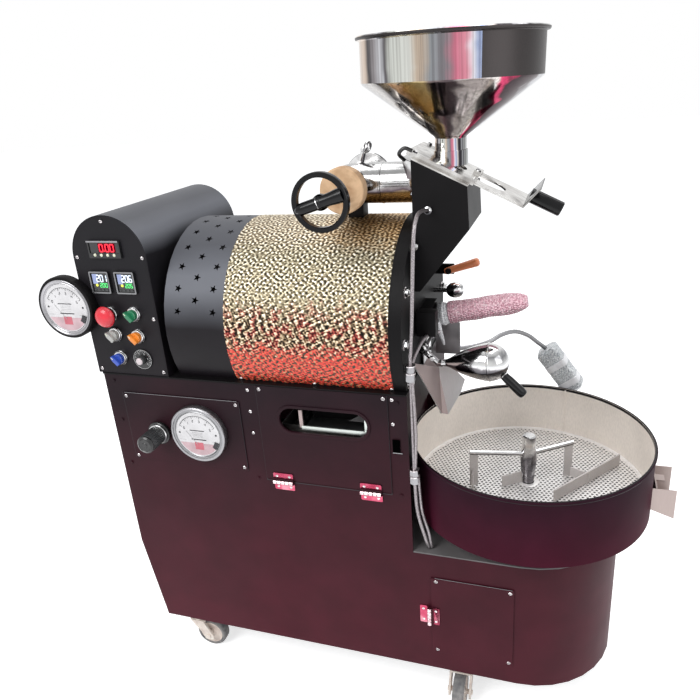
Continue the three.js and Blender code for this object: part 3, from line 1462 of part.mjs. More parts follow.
// Assembly
add("cabinet_shell", cabinetShell(), powderBlack);
add("table_plate", tablePlate(), powderBlack);
add("shelf_plate", shelfPlate(), powderBlack);
add("base_frame", baseFrame(), castIron);
add("gauge_panel", gaugePanel(), powderBlack);
add("draft_gauge", roundGauge(gaugeCentreX, -panelSheet - gaugeDepth, gaugeCentreZ, gaugeR, gaugeDepth, gaugeBezel,
  gaugeBoss, gaugeBoss), dialWhite);
add("gas_regulator", gasRegulator(), castIron);
add("regulator_knob", regulatorKnob(), blackPlastic).position.set(regulatorX, -seatGap, regulatorZ);
add("access_door", accessDoor(), powderBlack);
add("lower_door", lowerDoor(), powderBlack);
add("control_box", controlBox(), boxBlack);
add("control_panel", controlPanel(), boxBlack);
add("timer_display", instrument(timerX, timerZ, timerWidth, timerHeight, true), blackPlastic);
controllerXs.forEach((x, i) =>
  add(["temp_controller_left", "temp_controller_right"][i], instrument(x, controllerZ, controllerSide, controllerSide,
    false), blackPlastic));
add("estop_button", estopButton(), redPlastic).position.set(estopX, 0, estopZ);
["selector_green", "selector_grey", "selector_orange", "selector_blue"].forEach((name, i) =>
  add(name, selectorKnob(selectorR, selectorStand, 0.35), [greenPlastic, greyPlastic, orangePlastic, bluePlastic][i])
    .position.set(selectorXs[i], 0, selectorZs[i]));
add("speed_knob", selectorKnob(speedKnobR, sheet, 0.2), greyPlastic).position.set(speedX, 0, speedZ);
add("side_gauge", sideGauge(), dialWhite);

add("drive_guard", driveGuard(), powderBlack);
add("drum_cover", drumCover(), hammered);
add("rear_plate", rearPlate(), castIron);
add("face_plate", facePlate(), castIron);
add("roasting_drum", roastingDrum(), steelDark).position.set(0, centreY, drumCentreZ);
const motorSprocket = join(
  sprocket(motorSprocketR, motorSprocketTeeth, sprocketThick, 0),
  rod([-sprocketThick / 2 - sheet, 0, 0], [sprocketThick, 0, 0], motorShaftR, 16),
);
add("motor_sprocket", motorSprocket, steelDark).position.set(sprocketX, centreY, motorCentreZ);
add("drive_chain", driveChain(), steelDark);
add("drive_motor", driveMotor(), castIron);
add("burner", burner(), stainless);

add("feed_chute", feedChute(), powderBlack);
add("gate_housing", gateHousing(), stainless);
add("hopper", hopper(), stainless);
add("hopper_gate", hopperGate(), stainless);
add("exhaust_duct", exhaustDuct(), stainless);
add("insulating_disc", insulatingDisc(), wood);
add("damper_wheel", damperWheel(), blackPlastic).position.set(ductX, 0, ductZ);

add("sampler", sampler(), wrapPink).position.set(samplerX, samplerY, samplerZ);
add("discharge_door", dischargeDoor(), chrome);
add("discharge_spout", dischargeSpout(), stainless);
add("side_lever", sideLever(), orangeWood).position.set(sideLeverX, sideLeverY, sideLeverZ);
add("latch_knob", latchKnob(), chrome).position.set(faceRight + seatGap, latchY, latchZ);
add("work_lamp", lamp(), braid);
add("sensor_leads", sensorLeads(), braid);

add("bin_wall", binShell(), powderBlack);
add("bin_floor", binFloor(), stainless);
add("stirrer", stirrer(), chrome).position.set(binX, centreY, 0);
add("bin_outlet", binOutlet(), stainless);
add("bin_gate", binGate(), stainless);
add("stirrer_motor", stirrerMotor(), castIron);
add("cooling_fan", coolingFan(), castIron);

["front_left", "front_right", "rear_left", "rear_right"].forEach((place, i) => {
  const castor = new THREE.Group();
  castor.rotation.z = THREE.MathUtils.degToRad(castorTurnDegs[i]);
  castor.position.set(i < 2 ? castorXs[i] : rearCastorXs[i - 2], i < 2 ? castorFrontY : cabinetDepth - castorRearInset, 0);
  add("castor_fork_" + place, castorFork(), palePaint, castor);
  add("castor_wheel_" + place, castorWheel(), greyRubber, castor).position.set(castorOffset, 0, axleZ);
  machine.add(castor);
});

// The origin is the middle of the model's floor area, on the floor.
const size = new THREE.Box3().setFromObject(machine);
machine.position.set(-(size.min.x + size.max.x) / 2, -(size.min.y + size.max.y) / 2, -size.min.z);

export default assembly;
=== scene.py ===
"""A gas drum coffee roaster on castors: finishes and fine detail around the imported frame.

Lengths are millimetres from the cabinet's front left corner on the floor, as on a drawing;
place() turns them into the frame's metres.
"""

import json
import math

import bmesh
import bpy
import numpy as np
from mathutils import Matrix, Vector, noise

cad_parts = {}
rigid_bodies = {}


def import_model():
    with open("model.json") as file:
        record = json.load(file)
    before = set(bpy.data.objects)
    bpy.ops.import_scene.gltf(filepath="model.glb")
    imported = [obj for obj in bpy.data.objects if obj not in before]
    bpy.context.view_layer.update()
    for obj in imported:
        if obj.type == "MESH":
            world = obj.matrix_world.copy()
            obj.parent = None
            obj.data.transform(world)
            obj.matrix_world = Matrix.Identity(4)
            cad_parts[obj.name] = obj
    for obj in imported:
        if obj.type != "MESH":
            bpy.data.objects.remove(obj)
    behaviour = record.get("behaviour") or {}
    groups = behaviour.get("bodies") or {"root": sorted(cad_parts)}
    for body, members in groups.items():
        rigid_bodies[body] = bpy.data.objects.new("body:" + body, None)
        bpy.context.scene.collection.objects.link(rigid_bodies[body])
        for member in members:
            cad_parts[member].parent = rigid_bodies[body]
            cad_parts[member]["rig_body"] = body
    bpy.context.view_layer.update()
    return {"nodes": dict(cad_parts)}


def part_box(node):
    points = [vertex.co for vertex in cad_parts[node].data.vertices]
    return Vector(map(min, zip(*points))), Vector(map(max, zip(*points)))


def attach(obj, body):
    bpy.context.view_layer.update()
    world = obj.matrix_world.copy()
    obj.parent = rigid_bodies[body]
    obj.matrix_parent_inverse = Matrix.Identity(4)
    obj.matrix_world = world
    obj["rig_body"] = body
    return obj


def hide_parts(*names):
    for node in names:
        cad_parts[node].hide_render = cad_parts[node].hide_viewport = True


for leftover in list(bpy.data.objects):
    bpy.data.objects.remove(leftover)

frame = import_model()

MM = 0.001
DEPTH = 350
MIDDLE_Y = DEPTH / 2
NECK_X = 679
RIGHT = (1, 0, 0)
REAR = (0, 1, 0)
FRONT = (0, -1, 0)
UP = (0, 0, 1)
CORNER_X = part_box("cabinet_shell")[0].x
CORNER_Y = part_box("control_box")[0].y


def place(x, y, z):
    """A point of the drawing, in metres in the shared frame."""
    return Vector((x * MM + CORNER_X, y * MM + CORNER_Y, z * MM))


def drawn(point):
    """A frame point in drawing millimetres."""
    return Vector(((point[0] - CORNER_X) / MM, (point[1] - CORNER_Y) / MM, point[2] / MM))


# Camera, worked out from the photograph
FRAME_PIXELS = 700
SENSOR_MM = 36.0
FOCAL_PIXELS = 669.8
CAMERA_AT = (889.9, -1012.0, 1230.6)
AZIMUTH = math.radians(19.57)
ELEVATION = math.radians(21.96)
ROLL = math.radians(-4.36)


def add_camera():
    back = Vector(
        (
            math.sin(AZIMUTH) * math.cos(ELEVATION), -math.cos(AZIMUTH) * math.cos(ELEVATION),
            math.sin(ELEVATION),
        )
    )
    right = (-back).cross(UP).normalized()
    up = right.cross(-back)
    turned_right = math.cos(ROLL) * right + math.sin(ROLL) * up
    turned_up = -math.sin(ROLL) * right + math.cos(ROLL) * up
    data = bpy.data.cameras.new("camera")
    data.sensor_width = SENSOR_MM
    data.lens = SENSOR_MM * FOCAL_PIXELS / FRAME_PIXELS
    data.clip_end = 50
    camera = bpy.data.objects.new("camera", data)
    matrix = Matrix((turned_right, turned_up, back)).transposed().to_4x4()
    matrix.translation = place(*CAMERA_AT)
    camera.matrix_world = matrix
    bpy.context.scene.collection.objects.link(camera)
    bpy.context.scene.camera = camera


# Light and floor
def seen_or_mirrored(tree):
    """One where a ray comes from the camera, a mirror or glass, else nought."""
    path = tree.nodes.new("ShaderNodeLightPath")
    first = tree.nodes.new("ShaderNodeMath")
    first.operation = "MAXIMUM"
    second = tree.nodes.new("ShaderNodeMath")
    second.operation = "MAXIMUM"
    tree.links.new(path.outputs["Is Camera Ray"], first.inputs[0])
    tree.links.new(path.outputs["Is Glossy Ray"], first.inputs[1])
    tree.links.new(first.outputs[0], second.inputs[0])
    tree.links.new(path.outputs["Is Transmission Ray"], second.inputs[1])
    return second.outputs[0]


def add_world():
    world = bpy.data.worlds.new("studio")
    bpy.context.scene.world = world
    world.use_nodes = True
    tree = world.node_tree
    tree.nodes.clear()
    light = tree.nodes.new("ShaderNodeBackground")
    light.inputs["Color"].default_value = (0.95, 0.97, 1.0, 1)
    light.inputs["Strength"].default_value = 0.55
    shown = tree.nodes.new("ShaderNodeBackground")
    shown.inputs["Color"].default_value = (1, 1, 1, 1)
    shown.inputs["Strength"].default_value = 1.0
    mix = tree.nodes.new("ShaderNodeMixShader")
    out = tree.nodes.new("ShaderNodeOutputWorld")
    tree.links.new(seen_or_mirrored(tree), mix.inputs["Fac"])
    tree.links.new(light.outputs[0], mix.inputs[1])
    tree.links.new(shown.outputs[0], mix.inputs[2])
    tree.links.new(mix.outputs[0], out.inputs["Surface"])


def add_lamp(name, at, target, size, watts, colour=(1, 1, 1)):
    data = bpy.data.lights.new(name, "AREA")
    data.shape = "SQUARE"
    data.size = size
    data.energy = watts
    data.color = colour
    lamp = bpy.data.objects.new(name, data)
    lamp.location = at
    lamp.rotation_euler = (Vector(target) - Vector(at)).to_track_quat("-Z", "Y").to_euler()
    bpy.context.scene.collection.objects.link(lamp)
    return lamp


def add_floor():
    mesh = bpy.data.meshes.new("floor")
    half = 15.0
    mesh.from_pydata(
        [(-half, -half, 0), (half, -half, 0), (half, half, 0), (-half, half, 0)], [], [(0, 1, 2, 3)],
    )
    floor = bpy.data.objects.new("floor", mesh)
    bpy.context.scene.collection.objects.link(floor)
    material = bpy.data.materials.new("floor_white")
    material.use_nodes = True
    tree = material.node_tree
    bsdf = tree.nodes["Principled BSDF"]
    bsdf.inputs["Base Color"].default_value = (0.9, 0.9, 0.9, 1)
    bsdf.inputs["Roughness"].default_value = 0.9
    bsdf.inputs["Specular IOR Level"].default_value = 0.1
    bsdf.inputs["Emission Color"].default_value = (1, 1, 1, 1)
    lift = tree.nodes.new("ShaderNodeMath")
    lift.operation = "MULTIPLY"
    lift.inputs[1].default_value = 0.62
    tree.links.new(seen_or_mirrored(tree), lift.inputs[0])
    tree.links.new(lift.outputs[0], bsdf.inputs["Emission Strength"])
    mesh.materials.append(material)


# Materials
class Look:
    """A principled material with a few procedural layers."""

    def __init__(self, name, colour, roughness, metallic=0.0, specular=0.5, coat=0.0, coat_roughness=0.1):
        self.material = bpy.data.materials.new(name)
        self.material.use_nodes = True
        self.tree = self.material.node_tree
        self.bsdf = self.tree.nodes["Principled BSDF"]
        self.set("Base Color", (*colour, 1))
        self.set("Roughness", roughness)
        self.set("Metallic", metallic)
        self.set("Specular IOR Level", specular)
        self.set("Coat Weight", coat)
        self.set("Coat Roughness", coat_roughness)
        self.coords = self.node("ShaderNodeTexCoord").outputs["Object"]
        self.height = None

    def set(self, socket, value):
        self.bsdf.inputs[socket].default_value = value

    def node(self, kind, **settings):
        made = self.tree.nodes.new(kind)
        for key, value in settings.items():
            setattr(made, key, value)
        return made

    def link(self, source, target):
        self.tree.links.new(source, target)

    def stretched(self, scale):
        mapping = self.node("ShaderNodeMapping")
        mapping.inputs["Scale"].default_value = scale
        self.link(self.coords, mapping.inputs["Vector"])
        return mapping.outputs["Vector"]

    def noise(self, scale, detail=3.0, stretch=None, distortion=0.0):
        made = self.node("ShaderNodeTexNoise")
        made.inputs["Scale"].default_value = scale
        made.inputs["Detail"].default_value = detail
        made.inputs["Distortion"].default_value = distortion
        self.link(self.stretched(stretch) if stretch else self.coords, made.inputs["Vector"])
        return made.outputs["Fac"]

    def cells(self, scale, stretch=None, feature="F1"):
        made = self.node("ShaderNodeTexVoronoi", feature=feature)
        made.inputs["Scale"].default_value = scale
        self.link(self.stretched(stretch) if stretch else self.coords, made.inputs["Vector"])
        return made.outputs["Distance"]

    def ramp(self, factor, stops, interpolation="LINEAR"):
        made = self.node("ShaderNodeValToRGB")
        made.color_ramp.interpolation = interpolation
        elements = made.color_ramp.elements
        while len(elements) < len(stops):
            elements.new(0.5)
        for element, (position, colour) in zip(elements, stops):
            element.position = position
            element.color = (*colour, 1) if len(colour) == 3 else colour
        self.link(factor, made.inputs["Fac"])
        return made.outputs["Color"]

    def spread(self, factor, low, high, from_low=0.0, from_high=1.0):
        made = self.node("ShaderNodeMapRange")
        made.inputs["From Min"].default_value = from_low
        made.inputs["From Max"].default_value = from_high
        made.inputs["To Min"].default_value = low
        made.inputs["To Max"].default_value = high
        self.link(factor, made.inputs["Value"])
        return made.outputs["Result"]

    def mixed(self, factor, first, second, blend="MIX"):
        made = self.node("ShaderNodeMix", data_type="RGBA", blend_type=blend)
        for source, socket in (
            (factor, made.inputs["Factor"]), (first, made.inputs["A"]), (second, made.inputs["B"]),
        ):
            if isinstance(source, (int, float)):
                socket.default_value = source
            elif isinstance(source, tuple):
                socket.default_value = (*source, 1)
            else:
                self.link(source, socket)
        return made.outputs["Result"]

    def upward(self):
        split = self.node("ShaderNodeSeparateXYZ")
        self.link(self.coords, split.inputs[0])
        return split.outputs["Z"]

    def facing(self):
        """How far the surface looks up, from -1 to 1."""
        split = self.node("ShaderNodeSeparateXYZ")
        self.link(self.node("ShaderNodeNewGeometry").outputs["Normal"], split.inputs[0])
        return split.outputs["Z"]

    def sum(self, first, second, scale=1.0):
        """First value plus a share of the second."""
        made = self.node("ShaderNodeMath", operation="MULTIPLY_ADD")
        self.link(second, made.inputs[0])
        made.inputs[1].default_value = scale
        self.link(first, made.inputs[2])
        return made.outputs[0]

    def attribute(self, name):
        made = self.node("ShaderNodeAttribute")
        made.attribute_name = name
        return made.outputs["Fac"]

    def colour(self, source):
        self.link(source, self.bsdf.inputs["Base Color"])

    def roughness(self, source):
        self.link(source, self.bsdf.inputs["Roughness"])

    def bump(self, height, strength, distance):
        made = self.node("ShaderNodeBump")
        made.inputs["Strength"].default_value = strength
        made.inputs["Distance"].default_value = distance
        self.link(height, made.inputs["Height"])
        if self.height is not None:
            self.link(self.height, made.inputs["Normal"])
        self.height = made.outputs["Normal"]
        self.link(self.height, self.bsdf.inputs["Normal"])


def powder_coat(name, low_colour, high_colour, low_z, high_z, roughness=0.42, specular=0.22, sheen=None):
    look = Look(name, high_colour, roughness, 0.0, specular)
    patches = look.noise(3.2, 4.0)
    shifted = look.node("ShaderNodeMath", operation="ADD")
    look.link(look.spread(look.upward(), 0.0, 1.0, low_z, high_z), shifted.inputs[0])
    look.link(look.spread(patches, -0.34, 0.34), shifted.inputs[1])
    base = look.ramp(shifted.outputs[0], [(0.0, low_colour), (1.0, high_colour)])
    smudge = look.ramp(look.noise(14.0, 5.0), [(0.35, (0.8, 0.8, 0.8)), (0.7, (1.25, 1.2, 1.22))])
    base = look.mixed(0.6, base, smudge, "MULTIPLY")
    # With sheen, faces that look up get a painted reflection of a bright ceiling in that colour.
    if sheen:
        facing = look.sum(look.facing(), look.noise(6.0, 2.0), 0.2)
        lit = look.ramp(
            facing, [(0.16, (0, 0, 0)), (0.56, (1, 1, 1)), (0.72, (1, 1, 1)), (0.95, (0.5, 0.5, 0.5))],
        )
        base = look.mixed(lit, base, sheen)
    look.colour(base)
    look.roughness(look.spread(look.noise(9.0, 4.0), roughness - 0.08, roughness + 0.1))
    look.bump(look.noise(900.0, 2.0), 0.12, 0.0004)
    return look.material


def brushed(name, colour, roughness, stretch, contrast=0.12, metallic=1.0):
    look = Look(name, colour, roughness, metallic, 0.5)
    grain = look.noise(420.0, 3.0, stretch)
    dark = tuple(c * (1 - contrast * 2) for c in colour)
    pale = tuple(min(1.0, c * (1 + contrast)) for c in colour)
    cloud = look.ramp(look.noise(5.0, 3.0), [(0.3, dark), (0.7, pale)])
    look.colour(look.mixed(0.35, cloud, look.ramp(grain, [(0.3, dark), (0.7, pale)])))
    look.roughness(look.spread(grain, roughness - 0.06, roughness + 0.12))
    look.bump(grain, 0.08, 0.0003)
    return look.material


def mirror_steel(name, stops, stretch, scale, roughness=0.12, distortion=0.6, turn=0.0, wander=0.5):
    """Polished steel with painted reflection bands that follow the shape, as a room's reflections do."""
    look = Look(name, (0.8, 0.8, 0.8), roughness, 1.0)
    bands = look.noise(scale, 3.0, stretch, distortion)
    if turn:
        bands = look.sum(
            look.spread(look.facing(), 0.0, 1.0, -turn, turn), look.spread(bands, -1.0, 1.0), wander,
        )
    look.colour(look.ramp(bands, stops))
    look.roughness(look.spread(look.noise(60.0, 3.0), roughness - 0.04, roughness + 0.08))
    return look.material


def around_steel(name, stops, wander=0.012):
    """Mirror bright steel with upright painted reflection bands that go round the hopper; stops are in
    degrees from the front.
    """
    look = Look(name, (0.8, 0.8, 0.8), 0.1, 1.0)
    split = look.node("ShaderNodeSeparateXYZ")
    look.link(look.coords, split.inputs[0])
    centre = place(NECK_X, MIDDLE_Y, 0)
    turn = look.node("ShaderNodeMath", operation="ARCTAN2")
    for source, at, scale, socket in (("X", centre.x, 1.0, 0), ("Y", centre.y, -1.0, 1)):
        away = look.node("ShaderNodeMath", operation="MULTIPLY_ADD")
        look.link(split.outputs[source], away.inputs[0])
        away.inputs[1].default_value = scale
        away.inputs[2].default_value = -at * scale
        look.link(away.outputs[0], turn.inputs[socket])
    share = look.spread(turn.outputs[0], 0.0, 1.0, -math.pi, math.pi)
    streaks = look.spread(look.noise(70.0, 4.0, (1, 1, 0.03)), -1.0, 1.0)
    folds = look.spread(look.noise(9.0, 2.0, (1, 1, 1.2), 1.0), -1.0, 1.0)
    share = look.sum(look.sum(share, streaks, 0.01), folds, wander)
    base = look.ramp(share, [(0.5 + degrees / 360, colour) for degrees, colour in stops])
    lines = look.ramp(
        look.noise(240.0, 3.0, (1, 1, 0.01)), [(0.35, (0.62, 0.6, 0.6)), (0.6, (1.08, 1.08, 1.08))],
    )
    look.colour(look.mixed(0.7, base, lines, "MULTIPLY"))
    return look.material


def plastic(name, colour, roughness=0.35, coat=0.3, specular=0.4):
    look = Look(name, colour, roughness, 0.0, specular, coat)
    worn = tuple(c * 0.75 for c in colour)
    look.colour(look.ramp(look.noise(55.0, 4.0), [(0.3, worn), (0.7, colour)]))
    look.bump(look.noise(1600.0, 2.0), 0.06, 0.0002)
    return look.material


def glow(name, colour, strength):
    look = Look(name, (0.02, 0.02, 0.02), 0.4)
    look.set("Emission Color", (*colour, 1))
    look.set("Emission Strength", strength)
    look.colour(look.ramp(look.noise(300.0, 1.0), [(0.0, tuple(c * 0.5 for c in colour)), (1.0, colour)]))
    return look.material


def hammered_look():
    look = Look("hammered_cover", (0.6, 0.45, 0.2), 0.3, 1.0)
    relief = look.attribute("relief")
    # The ramps below run from dark hollows to pale crests: painted shade in the hollows and painted
    # highlights on the crests, over the cover's own gold tones.
    ridges = look.ramp(
        relief,
        [
            (0.0, (0.02, 0.017, 0.01)), (0.2, (0.07, 0.056, 0.033)), (0.42, (0.19, 0.16, 0.105)),
            (0.6, (0.28, 0.245, 0.165)), (0.76, (0.42, 0.375, 0.27)), (0.92, (0.72, 0.68, 0.56)),
            (1.0, (0.88, 0.85, 0.75)),
        ],
    )
    olive = look.ramp(
        relief,
        [
            (0.0, (0.025, 0.02, 0.013)), (0.3, (0.12, 0.09, 0.06)), (0.55, (0.32, 0.26, 0.18)),
            (0.75, (0.56, 0.49, 0.36)), (1.0, (0.85, 0.8, 0.68)),
        ],
    )
    bronze = look.ramp(
        relief,
        [
            (0.0, (0.045, 0.026, 0.011)), (0.3, (0.17, 0.1, 0.04)), (0.6, (0.4, 0.25, 0.12)),
            (1.0, (0.78, 0.6, 0.36)),
        ],
    )
    coarse = look.ramp(
        relief,
        [
            (0.0, (0.006, 0.006, 0.005)), (0.26, (0.03, 0.02, 0.014)), (0.45, (0.15, 0.1, 0.055)),
            (0.62, (0.32, 0.23, 0.14)), (0.8, (0.6, 0.47, 0.31)), (1.0, (0.85, 0.75, 0.58)),
        ],
    )
    # This ramp paints patches of red reflection into the lower band of the cover; blush picks where they
    # lie.
    reflected_red = look.ramp(
        relief,
        [
            (0.0, (0.01, 0.008, 0.006)), (0.3, (0.09, 0.015, 0.015)), (0.55, (0.38, 0.06, 0.05)),
            (0.75, (0.4, 0.22, 0.14)), (1.0, (0.85, 0.62, 0.46)),
        ],
    )
    # This ramp paints the bottom band of the cover with a painted red reflection of the floor, over dark
    # flecks.
    red = look.ramp(
        relief,
        [
            (0.0, (0.03, 0.025, 0.015)), (0.2, (0.08, 0.05, 0.025)), (0.34, (0.3, 0.05, 0.03)),
            (0.45, (0.6, 0.05, 0.035)), (0.8, (0.78, 0.07, 0.045)), (0.92, (0.62, 0.2, 0.08)),
            (1.0, (0.5, 0.3, 0.16)),
        ],
    )
    height = look.upward()
    patches = look.spread(look.noise(60.0, 6.0, None, 0.8), -1.0, 1.0)
    bottom = look.spread(look.sum(height, patches, 0.05), 1.0, 0.0, 0.783, 0.803)
    lower = look.spread(look.sum(height, patches, 0.04), 1.0, 0.0, 0.835, 0.885)
    top = look.spread(look.sum(height, patches, 0.02), 0.0, 1.0, 0.952, 0.978)
    split = look.node("ShaderNodeSeparateXYZ")
    look.link(look.coords, split.inputs[0])
    right = look.spread(look.sum(split.outputs["X"], patches, 0.05), 0.0, 1.0, -0.06, 0.03)
    blush = look.spread(look.noise(55.0, 4.0), 0.0, 1.0, 0.49, 0.55)
    upper = look.mixed(top, ridges, look.mixed(right, olive, bronze))
    look.colour(look.mixed(bottom, look.mixed(lower, upper, look.mixed(blush, coarse, reflected_red)), red))
    look.roughness(look.spread(relief, 0.55, 0.34))
    # Less metallic towards the bottom, so the painted red reflection shows under diffuse light.
    look.link(look.spread(bottom, 0.85, 0.15), look.bsdf.inputs["Metallic"])
    look.bump(look.noise(520.0, 3.0), 0.25, 0.0006)
    return look.material


def film_look(name, tint, clear):
    """Crumpled bubble film: painted white glints, and painted shade between the bubbles and in the creases,
    over the colour beneath.
    """
    look = Look(name, tint, 0.25, 0.0, 0.6, 0.5)
    cell = look.cells(300.0)
    dark = tuple(c ** 1.6 * 0.62 for c in tint)
    base = look.ramp(cell, [(0.0, (0.97, 0.95, 0.96)), (0.2, tint), (0.42, tint), (0.62, dark)])
    crumple = look.ramp(
        look.noise(210.0, 5.0, None, 1.5),
        [(0.4, (1, 1, 1)), (0.48, tint), (0.55, dark), (0.64, (0.9, 0.9, 0.92))],
    )
    look.colour(look.mixed(clear, base, crumple))
    look.bump(cell, 0.5, 0.002)
    look.bump(look.noise(200.0, 4.0), 0.4, 0.001)
    return look.material


def wood_look(name, dark, pale, stretch, roughness=0.55, coat=0.0):
    look = Look(name, pale, roughness, 0.0, 0.3, coat)
    rings = look.noise(40.0, 5.0, stretch, 0.8)
    look.colour(
        look.ramp(rings, [(0.25, dark), (0.55, pale), (0.8, tuple(min(1, c * 1.15) for c in pale))])
    )
    look.bump(look.noise(300.0, 3.0, stretch), 0.15, 0.0004)
    return look.material


def braid_look():
    look = Look("braid", (0.5, 0.5, 0.5), 0.4, 0.85)
    weave = look.noise(900.0, 2.0, (1, 1, 0.6))
    look.colour(
        look.ramp(weave, [(0.3, (0.14, 0.12, 0.13)), (0.6, (0.38, 0.35, 0.36)), (0.8, (0.66, 0.62, 0.63))])
    )
    look.bump(weave, 0.5, 0.0006)
    return look.material


def rubber_look():
    look = Look("castor_rubber", (0.2, 0.2, 0.2), 0.75, 0.0, 0.25)
    look.colour(look.ramp(look.noise(80.0, 5.0), [(0.3, (0.12, 0.12, 0.125)), (0.7, (0.3, 0.29, 0.28))]))
    look.bump(look.noise(700.0, 3.0), 0.3, 0.0005)
    return look.material


def cream_look():
    look = Look("castor_cream", (0.7, 0.62, 0.52), 0.45, 0.0, 0.4)
    look.colour(
        look.ramp(
            look.noise(45.0, 5.0),
            [(0.3, (0.55, 0.45, 0.4)), (0.5, (0.76, 0.67, 0.6)), (0.75, (0.86, 0.8, 0.72))],
        )
    )
    look.bump(look.noise(500.0, 3.0), 0.1, 0.0004)
    return look.material


def dial_look():
    look = Look("dial_paper", (0.8, 0.79, 0.77), 0.45, 0.0, 0.5, 0.6)
    look.colour(look.ramp(look.noise(30.0, 3.0), [(0.35, (0.56, 0.55, 0.56)), (0.7, (0.7, 0.69, 0.7))]))
    return look.material


# The maroon towards the bottom of the cabinet coat is a painted reddish reflection; the coat itself is the
# near-black of the upper part.
CABINET = powder_coat(
    "cabinet_coat", (0.066, 0.009, 0.017), (0.0125, 0.0055, 0.0085), 0.12, 0.72, 0.5, 0.12,
)
# The blue-grey sheen of the box coat is a painted reflection of a bright ceiling on faces that look up.
BOX = powder_coat(
    "box_coat", (0.009, 0.007, 0.009), (0.009, 0.0085, 0.0105), 0.7, 1.0, 0.45, 0.16, (0.125, 0.13, 0.148),
)
# The maroon towards the bottom of the bin coat is a painted reddish reflection as well.
BIN_OUT = powder_coat("bin_coat", (0.05, 0.006, 0.016), (0.02, 0.006, 0.012), 0.42, 0.57, 0.6, 0.06)
CAST = powder_coat("cast_black", (0.006, 0.0055, 0.006), (0.0065, 0.006, 0.0065), 0.7, 1.0, 0.42, 0.09)
NEAR_BLACK = powder_coat("near_black", (0.002, 0.002, 0.0022), (0.0028, 0.0026, 0.003), 0.7, 1.0, 0.5, 0.07)
HAMMERED = hammered_look()
STEEL = brushed("brushed_steel", (0.62, 0.6, 0.58), 0.3, (1, 1, 0.04))
BIN_IN = brushed("bin_inside", (0.9, 0.83, 0.76), 0.42, (1, 1, 0.3), 0.12, 0.4)
FLOOR_STEEL = brushed("floor_steel", (0.88, 0.86, 0.85), 0.34, (0.2, 1, 1), 0.08, 0.5)
POLISHED = mirror_steel(
    "polished_steel",
    [
        (0.08, (0.28, 0.2, 0.11)), (0.26, (0.34, 0.25, 0.13)), (0.36, (0.07, 0.05, 0.06)),
        (0.45, (0.24, 0.22, 0.22)), (0.53, (0.8, 0.8, 0.8)), (0.6, (0.42, 0.41, 0.41)),
        (0.75, (0.3, 0.3, 0.3)), (0.9, (0.5, 0.5, 0.5)),
    ],
    (1, 1, 1), 26.0, 0.14, 0.5, 1.0, 0.16,
)
PLATE_STEEL = mirror_steel(
    "plate_steel",
    [
        (0.3, (0.22, 0.21, 0.2)), (0.45, (0.5, 0.48, 0.46)), (0.6, (0.7, 0.69, 0.67)),
        (0.72, (0.4, 0.38, 0.37)),
    ],
    (1, 1, 1), 22.0, 0.2,
)
HOPPER = around_steel(
    "hopper_steel",
    [
        (-175, (0.5, 0.48, 0.46)), (-150, (0.2, 0.19, 0.2)), (-124, (0.62, 0.6, 0.57)),
        (-100, (0.3, 0.28, 0.27)), (-86, (0.6, 0.48, 0.38)), (-54, (0.66, 0.53, 0.43)),
        (-48, (0.03, 0.025, 0.03)), (-41, (0.28, 0.26, 0.27)), (-34, (0.62, 0.63, 0.66)),
        (-30, (0.07, 0.06, 0.07)), (-26, (0.6, 0.62, 0.58)), (-14, (0.66, 0.67, 0.63)),
        (-8, (0.55, 0.44, 0.34)), (-2, (0.3, 0.32, 0.34)), (7, (0.26, 0.24, 0.26)),
        (12, (0.62, 0.19, 0.27)), (19, (0.7, 0.28, 0.35)), (22, (0.85, 0.84, 0.9)), (27, (0.3, 0.38, 0.6)),
        (31, (0.82, 0.76, 0.72)), (36, (0.04, 0.035, 0.04)), (45, (0.035, 0.033, 0.038)),
        (49, (0.3, 0.3, 0.31)), (55, (0.1, 0.1, 0.11)), (61, (0.4, 0.41, 0.4)), (67, (0.18, 0.18, 0.18)),
        (74, (0.46, 0.48, 0.47)), (100, (0.22, 0.21, 0.22)), (128, (0.6, 0.58, 0.56)),
        (156, (0.26, 0.25, 0.25)),
    ],
)
CONE = around_steel(
    "cone_steel",
    [
        (-80, (0.1, 0.1, 0.11)), (-52, (0.5, 0.48, 0.46)), (-40, (0.12, 0.11, 0.11)),
        (-30, (0.66, 0.6, 0.54)), (-22, (0.3, 0.22, 0.1)), (-8, (0.5, 0.4, 0.22)), (-3, (0.16, 0.13, 0.13)),
        (2, (0.08, 0.06, 0.065)), (9, (0.1, 0.08, 0.085)), (14, (0.4, 0.36, 0.35)),
        (22, (0.46, 0.42, 0.41)), (34, (0.7, 0.67, 0.64)), (38, (0.55, 0.05, 0.13)),
        (44, (0.45, 0.03, 0.1)), (49, (0.03, 0.015, 0.02)), (70, (0.05, 0.03, 0.035)),
        (80, (0.4, 0.4, 0.42)),
    ],
    0.09,
)
CHROME = mirror_steel(
    "chrome",
    [
        (0.05, (0.2, 0.19, 0.19)), (0.2, (0.4, 0.38, 0.36)), (0.36, (0.05, 0.05, 0.055)),
        (0.47, (0.16, 0.15, 0.16)), (0.54, (0.85, 0.85, 0.85)), (0.66, (0.6, 0.6, 0.6)),
        (0.8, (0.22, 0.22, 0.23)), (0.92, (0.75, 0.75, 0.75)),
    ],
    (1, 1, 1), 36.0, 0.1, 0.4, 1.0, 0.12,
)
RIM_SHADE = brushed("rim_shade", (0.05, 0.045, 0.045), 0.35, (1, 1, 1))
HINGE = mirror_steel(
    "hinge_steel", [(0.3, (0.42, 0.05, 0.1)), (0.5, (0.55, 0.09, 0.16)), (0.7, (0.7, 0.25, 0.32))],
    (1, 1, 1), 34.0, 0.3,
)
HINGE_PIN = mirror_steel(
    "hinge_pin", [(0.35, (0.6, 0.36, 0.4)), (0.6, (0.9, 0.72, 0.74))], (1, 1, 1), 60.0, 0.25,
)
